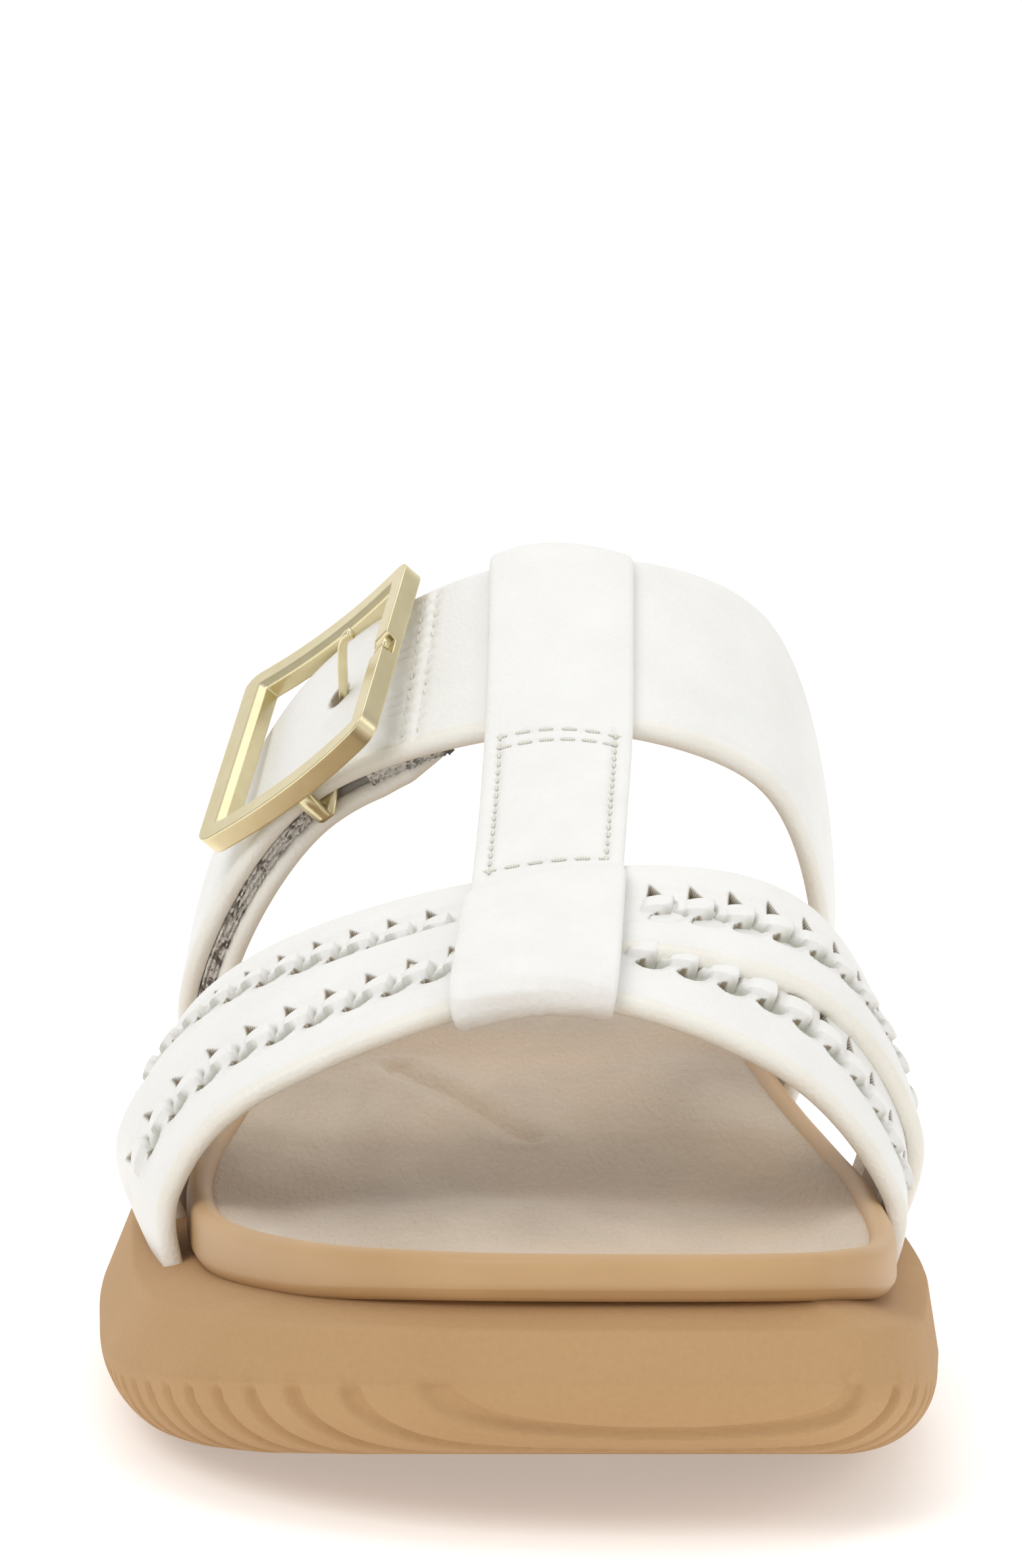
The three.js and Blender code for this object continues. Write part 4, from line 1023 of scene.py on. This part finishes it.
def t_strap_seams():
    level = 1.0 + T_THICKNESS / 2 - 0.22
    rows = (("box_top", (BOX_TOP, BOX_TOP), (-BOX_SIDE, BOX_SIDE), ROW_STITCH),
            ("box_second", (BOX_TOP - ROW_GAP,) * 2, (-BOX_SIDE + 0.6, BOX_SIDE - 0.6), ROW_STITCH),
            ("box_bottom", (BOX_BOTTOM, BOX_BOTTOM), (-BOX_SIDE, BOX_SIDE), ROW_STITCH),
            ("box_left", (BOX_TOP, BOX_BOTTOM), (-BOX_SIDE, -BOX_SIDE), SIDE_STITCH),
            ("box_right", (BOX_TOP, BOX_BOTTOM), (BOX_SIDE, BOX_SIDE), SIDE_STITCH))
    for name, ys, xs, stitch in rows:
        x = np.linspace(*xs, 40)
        y = np.linspace(*ys, 40) + BOX_SLANT * x
        points, normals = on_t_strap(y, x, np.full(40, level))
        seam("stitches_" + name, points, normals, *stitch)


t_strap()
t_strap_seams()

# Instep strap
# The outer layer of the strap that holds the instep: 30 mm of the same leather with a piped front edge.
# On the lateral side it passes under the buckle's bars and is gathered by two rows of stitches.
INSTEP_STRAP = [(34, 63), (30.5, 59), (23, 47.4), (9.5, 36), (17, 46), (28, 58), (34, 63)]
INSTEP_START = 0.13
GATHER_DEPTH = 0.42
# pitch, length and thickness of a stitch
GATHER_STITCH = (1.7, 1.15, 0.45)
# the share of each gathering row at the strap's front edge, and how far it has moved at the rear edge
GATHER_ROWS = ((0.4065, 0.017), (0.4165, 0.0175))
# y and share of the prong's hole
PRONG_HOLE = (35.74, 0.3591)
PRONG_HOLE_RADIUS = 1.15
PRONG_HOLE_DEPTH = 1.8


def instep_strap():
    shares, _ = strap_stations(INSTEP_STRAP, INSTEP_START, 1, 0.33)
    front, rear = strap_edges(INSTEP_STRAP, shares)
    v, heights, paint = strap_profile(rear - front, [(0, c) for c in np.linspace(0.165, 0.93, 72)])
    outer = (heights > -0.3) & (v > PIPING_RADIUS)
    share = shares[:, None]
    across = v / (rear - front)[:, None]
    for low, slant in GATHER_ROWS:
        place = (share - low - slant * across) / 0.0028
        dents = 0.6 + 0.4 * np.cos(2 * math.pi * (v - 3.4) / 1.7)
        heights = heights - outer * GATHER_DEPTH * np.exp(-place**2) * dents
    first = GATHER_ROWS[0][0] + GATHER_ROWS[0][1] * across
    gather = np.exp(-((share - first + 0.012) / 0.0095)**2) * outer
    pucker = np.sin(across * 74 + 2.4 * np.sin(across * 19) + (share - first) * 160)
    heights = heights + gather * (0.3 * pucker - 0.35)
    between = np.exp(-((share - first - 0.005) / 0.004)**2) * outer
    heights = heights + between * 0.12 * np.sin(across * 88 + 1.0)
    point = foot_point(front[:, None] + v, share)
    hole = foot_point(*(np.array([q]) for q in PRONG_HOLE))
    distance = np.linalg.norm((point - hole) * (1, 1, 0.6), axis=-1)
    pit = outer * inside(distance - PRONG_HOLE_RADIUS, 0.12)
    heights = heights - PRONG_HOLE_DEPTH * pit - outer * 0.25 * np.exp(-((distance - 1.7) / 0.9)**2)
    piece = strap_body("instep_strap", INSTEP_STRAP, shares, v, heights, (leather, piping, lining), paint)
    # Painted shade inside the prong's hole.
    mark(piece, "hole_painted_shade", np.minimum(HOLE_SPREAD * pit, 1))
    return dress(piece, ["upper"])


instep_strap()


def gather_seams():
    for number, (low, slant) in enumerate(GATHER_ROWS):
        reach = np.linspace(0.13, 0.93, 60)
        share = low + slant * reach
        front, rear = strap_edges(INSTEP_STRAP, share)
        point, normal = foot_frame(front + (rear - front) * reach, share)
        seam(f"stitches_gather_{number + 1}", point - normal * 0.3, normal, *GATHER_STITCH)


gather_seams()

# Closure strap
# The inner layer on the lateral side, with its own piped edge and beige lining. It comes up out of the
# sole under the outer layer and ends in a tip beyond the buckle.
CLOSURE_THICKNESS = 2.0
LAYER_DROP = 4.7
CLOSURE_END = 0.452
# the share from which the inner layer rises to its tip
END_RISE = 0.38


def closure_strap():
    shares, _ = strap_stations(INSTEP_STRAP, 0, CLOSURE_END, 0.8)
    front, rear = strap_edges(INSTEP_STRAP, shares)
    v, heights, paint = strap_profile(rear - front, [(0, c) for c in np.linspace(0.165, 0.93, 20)],
                                      CLOSURE_THICKNESS)
    taper = np.sqrt(np.clip((CLOSURE_END - shares) / 0.05, 0, 1))[:, None]
    middle = 0.5 * (rear - front)[:, None]
    v = middle + (v - middle) * (0.35 + 0.65 * taper)
    drop = LAYER_DROP * np.clip(shares / 0.16, 0, 1) - 2.1 * np.clip((shares - END_RISE) / 0.06, 0, 1)
    piece = strap_body("closure_strap_inner", INSTEP_STRAP, shares, v, heights - drop[:, None],
                       (leather, piping, lining), paint)
    return dress(piece, ["closure_strap"])


closure_strap()

# Hook-and-loop tape
# Woven tape between the two layers, cut flush with their edges. From the front only its rough side shows:
# dark backing with pale loops standing out of it.
TAPE_DARK = "7D736B"
TAPE_PALE = "E6E1D8"


def tape_material():
    # Nylon loop tape: matte tangled pile, pale loops over a dark ground.
    # The tangle is drawn at 2.4 mm, with detail down to 0.3 mm, so that single loops show.
    material, tree, shader = new_material("nylon_loop_tape", Roughness=0.95, Sheen_Weight=0.3)
    where = add_node(tree, "ShaderNodeTexCoord").outputs["Object"]
    tangle = add_node(tree, "ShaderNodeTexNoise", {"Vector": where, "Scale": 420.0, "Detail": 3.0,
                                                   "Distortion": 1.8})
    loops = add_node(tree, "ShaderNodeMapRange", {"Value": tangle.outputs["Fac"], "From Min": 0.4,
                                                  "From Max": 0.49})
    colour = add_node(tree, "ShaderNodeMix", {"Factor": loops, "A": linear(TAPE_DARK),
                                              "B": linear(TAPE_PALE)}, data_type="RGBA")
    drive(shader, Base_Color=colour.outputs[2])
    bump = add_node(tree, "ShaderNodeBump", {"Height": tangle.outputs["Fac"], "Strength": 0.8,
                                             "Distance": 0.0005})
    drive(shader, Normal=bump)
    return material


tape_paint = tape_material()


def tape(name, node, low, high):
    shares, _ = strap_stations(INSTEP_STRAP, low, high, 0.35)
    front, rear = strap_edges(INSTEP_STRAP, shares)
    width = rear - front
    top, bottom = -STRAP_THICKNESS - 0.05, -STRAP_THICKNESS - 2.15
    rough = np.random.default_rng(7)
    inner = np.full_like(width, 8.0)
    v, h = [width - 1.5, width - 1.5, inner], [top, bottom, bottom]
    for k, level in enumerate(np.linspace(bottom, top, 9)):
        v.append(0.9 + 0.45 * math.sin(k * 2.4) + rough.uniform(-0.35, 0.35, len(width)))
        h.append(level)
    v = np.column_stack(v + [inner])
    thin = 1 - 0.9 * np.clip((shares - END_RISE) / 0.06, 0, 1)[:, None]
    h = top + (np.array(h + [top]) - top) * thin
    piece = strap_body(name, INSTEP_STRAP, shares, v, h, (tape_paint,), np.zeros(v.shape[1], np.int32))
    return dress(piece, [node])


tape("loop_tape_low", "hook_and_loop_low", 0.14, 0.322)
tape("loop_tape_high", "hook_and_loop_high", 0.378, 0.436)

# Buckle
# Cast zinc buckle, plated light gold and satin finished: a slightly bowed frame with a notch for the
# prong's tip, a centre bar behind it on two lugs, and a bent wire prong through the strap's hole.
BUCKLE_ALONG = 33.8
BUCKLE_ACROSS = 36.4
BUCKLE_BAR = 3.8
BUCKLE_DEPTH = 3.0
BUCKLE_BOW = 1.2
CORNER_RADIUS = 0.7
INNER_RADIUS = 0.35
BAR_LEVEL = -4.71
BAR_TILT = -0.0754
NOTCH_HALF = 1.6
NOTCH_DEPTH = 1.8
# nearly the way between two corners' turns
CORNER_SPAN = 31
PRONG_WIRE = 1.3
GOLD_LIGHT = "E9DFBC"
GOLD_DEEP = "D8CB9F"
LUG_HALF = 1.1
BAR_HALF = 1.4
BUCKLE_CENTRE = np.array((-26.58, 34.45, 79.93))
ACROSS_AXIS = np.array((-0.1661, -0.8144, -0.5560))
ALONG_AXIS = np.array((-0.6750, 0.5050, -0.5380))


def buckle_point(u, v, w):
    """Along the strap, across it, and out of the frame's face, in millimetres."""
    across = ACROSS_AXIS / np.linalg.norm(ACROSS_AXIS)
    along = ALONG_AXIS / np.linalg.norm(ALONG_AXIS)
    outward = np.cross(along, across)
    outward /= np.linalg.norm(outward)
    bow = BUCKLE_BOW * (2 * np.asarray(u) / BUCKLE_ALONG)**2
    return (BUCKLE_CENTRE + np.multiply.outer(np.asarray(u, float), along)
            + np.multiply.outer(np.asarray(v, float), across) + np.multiply.outer(w + bow, outward))


def gold_material():
    # Zinc casting, satin polished and plated light gold: soft broad highlights and very fine polish lines.
    # The lines are drawn 0.14 mm apart and 1.1 mm long, coarser than real ones so that they show.
    material, tree, shader = new_material("satin_light_gold_plate", Metallic=1.0, Roughness=0.3)
    where = add_node(tree, "ShaderNodeTexCoord").outputs["Object"]
    cloud = add_node(tree, "ShaderNodeTexNoise", {"Vector": where, "Scale": 300.0, "Detail": 3.0})
    lay = add_node(tree, "ShaderNodeMapping", {"Vector": where, "Scale": (1.0, 8.0, 8.0)})
    lines = add_node(tree, "ShaderNodeTexNoise", {"Vector": lay, "Scale": 900.0, "Detail": 2.0})
    colour = add_node(tree, "ShaderNodeMix", {"Factor": cloud.outputs["Fac"], "A": linear(GOLD_DEEP),
                                              "B": linear(GOLD_LIGHT)}, data_type="RGBA")
    drive(shader, Base_Color=colour.outputs[2])
    rough = add_node(tree, "ShaderNodeMapRange", {"Value": lines.outputs["Fac"], "To Min": 0.24,
                                                  "To Max": 0.4})
    drive(shader, Roughness=rough)
    bump = add_node(tree, "ShaderNodeBump", {"Height": lines.outputs["Fac"], "Strength": 0.08,
                                             "Distance": 0.00005})
    drive(shader, Normal=bump)
    return material


gold = gold_material()


def rounded_section(half_wide, half_deep, radius, steps):
    corners = ((1, 1, 0), (-1, 1, 90), (-1, -1, 180), (1, -1, 270))
    section = []
    for su, sv, start in corners:
        centre = su * (half_wide - radius), sv * (half_deep - radius)
        section += edge_round(*centre, radius, start, start + 90, steps)
    return section


def crisp_section(outline, reach):
    """A closed outline with small rounded edges and flat faces between them."""
    outline = np.array(outline, float)
    section = []
    for k, corner in enumerate(outline):
        back = outline[k - 1] - corner
        ahead = outline[(k + 1) % len(outline)] - corner
        back /= np.linalg.norm(back)
        ahead /= np.linalg.norm(ahead)
        section.append(corner + back * (reach + 0.1))
        for t in np.linspace(0, 1, 4):
            section.append(corner + back * reach * (1 - t)**2 + ahead * reach * t**2)
        section.append(corner + ahead * (reach + 0.1))
    return section


def frame_path():
    """Places round the frame: a corner with its angle, the next corner, and the share of the way there."""
    corners = ((1, 1), (-1, 1), (-1, -1), (1, -1))
    places = []
    for k, corner in enumerate(corners):
        after = corners[(k + 1) % 4]
        for turn in np.linspace(0, 90, 8):
            places.append((corner, after, math.radians(90 * k + turn), 0))
        stops = list(np.linspace(0, 1, 24)[1:-1]) + [0.03, 0.97]
        if k == 1:
            stops += [0.5 + s * (NOTCH_HALF + d) / CORNER_SPAN for s in (-1, 1)
                      for d in (-0.3, -0.1, 0, 0.1, 0.3)]
        for t in sorted(stops):
            places.append((corner, after, math.radians(90 * k + 90), t))
    return places


def frame_spot(corner, angle, offset):
    """Where a line of the section runs round one corner, sharper inside than outside."""
    radius = max(CORNER_RADIUS + offset, INNER_RADIUS)
    u = corner[0] * ((BUCKLE_ALONG - BUCKLE_BAR) / 2 + offset - radius) + math.cos(angle) * radius
    v = corner[1] * ((BUCKLE_ACROSS - BUCKLE_BAR) / 2 + offset - radius) + math.sin(angle) * radius
    return np.array((u, v))


def swept_ring(places, section, sink):
    points = []
    for corner, after, angle, t in places:
        for a, w in section:
            u, v = frame_spot(corner, angle, a) * (1 - t) + frame_spot(after, angle, a) * t
            points.append(buckle_point(u, v, w - sink(u, v, w)))
    return np.array(points)


def block_points(u_half, v0, v1, low, high, rounding, steps):
    """A rounded bar from v0 to v1 whose levels are given at both ends."""
    rows = []
    for v, lo, hi in ((v0, low[0], high[0]), (v1, low[1], high[1])):
        section = rounded_section(u_half, (hi - lo) / 2, rounding, steps)
        rows.append([buckle_point(a, v, (lo + hi) / 2 + b) for a, b in section])
    return np.array(rows)


def joined_object(name, parts, material):
    """One mesh from several lists of points and faces."""
    points, faces, total = [], [], 0
    for some_points, some_faces in parts:
        points.append(np.asarray(some_points).reshape(-1, 3))
        faces += [[v + total for v in face] for face in some_faces]
        total += len(points[-1])
    piece = mesh_object(name, np.vstack(points), faces, material)
    face_outwards(piece)
    return piece


def buckle_frame():
    half_bar, half_deep = BUCKLE_BAR / 2, BUCKLE_DEPTH / 2
    section = crisp_section([(half_bar, -half_deep), (half_bar, half_deep), (-half_bar + 0.95, half_deep),
                             (-half_bar, half_deep - 0.75), (-half_bar, -half_deep)], 0.22)
    places = frame_path()

    def notch(u, v, w):
        if u > -BUCKLE_ALONG / 2 + BUCKLE_BAR + 0.5 or w < 0.3:
            return 0.0
        return NOTCH_DEPTH * inside(abs(v) - NOTCH_HALF, 0.05)

    ring = swept_ring(places, section, notch)
    size, count = len(section), len(places)
    faces = []
    for i in range(count):
        for k in range(size):
            j, other = (i + 1) % count, (k + 1) % size
            faces.append([i * size + k, j * size + k, j * size + other, i * size + other])
    parts = [(ring, faces)]
    half_v = (BUCKLE_ACROSS - BUCKLE_BAR) / 2
    reach = half_v + 0.4
    levels = BAR_LEVEL + BAR_TILT * np.array((-reach, reach))
    bar = block_points(BAR_HALF, -reach, reach, levels - 0.65, levels + 0.65, 0.5, 4)
    parts.append((bar, sweep_faces(2, bar.shape[1])))
    for side, level in zip((-1, 1), levels):
        foot = level + 0.3
        outline = [(-LUG_HALF, 0.3), (-LUG_HALF, foot)]
        outline += [(LUG_HALF * math.cos(a), foot + 0.6 * math.sin(a))
                    for a in np.linspace(math.pi, 2 * math.pi, 9)]
        outline += [(LUG_HALF, foot), (LUG_HALF, 0.3)]
        lug = np.array([[buckle_point(u, side * (half_v + d), w) for u, w in outline]
                        for d in (-0.1, 1.1)])
        parts.append((lug, sweep_faces(2, lug.shape[1])))
    piece = joined_object("gold_buckle", parts, gold)
    return dress(piece, ["buckle_frame"])


buckle_frame()


def buckle_prong():
    # along, across and above the frame's middle: up from the hole, then bent towards the frame
    route = smooth_route([(-2.3, -2.85, -2.4), (-4.0, -2.3, -0.9), (-7.0, -1.4, 1.7), (-9.3, -0.7, 3.7),
                          (-11.4, -0.2, 5.4), (-13.0, 0.1, 6.2), (-14.2, 0.2, 6.2)], 0.35)
    tangent = np.gradient(route, axis=0)
    tangent /= np.linalg.norm(tangent, axis=1)[:, None]
    section = rounded_section(PRONG_WIRE / 2, PRONG_WIRE / 2, 0.3, 4)
    rows = []
    for (u, v, w), (du, _, dw) in zip(route, tangent):
        flat = w - BUCKLE_BOW * (2 * u / BUCKLE_ALONG)**2
        rows.append([buckle_point(u - dw * b, v + a, flat + du * b) for a, b in section])
    parts = [(np.array(rows), sweep_faces(len(rows), len(section)))]
    tip_route = [(-12.0, -1.0), (-13.4, 0.2), (-15.0, 0.75), (-16.7, 0.8)]
    rows = []
    for u, w in smooth_route(tip_route, 0.5):
        rows.append([buckle_point(u, 0.9 * a, w + b * 0.8) for a, b in rounded_section(1.0, 0.75, 0.45, 4)])
    parts.append((np.array(rows), sweep_faces(len(rows), len(rows[0]))))
    piece = joined_object("gold_prong", parts, gold)
    return dress(piece, ["buckle_prong"])


buckle_prong()
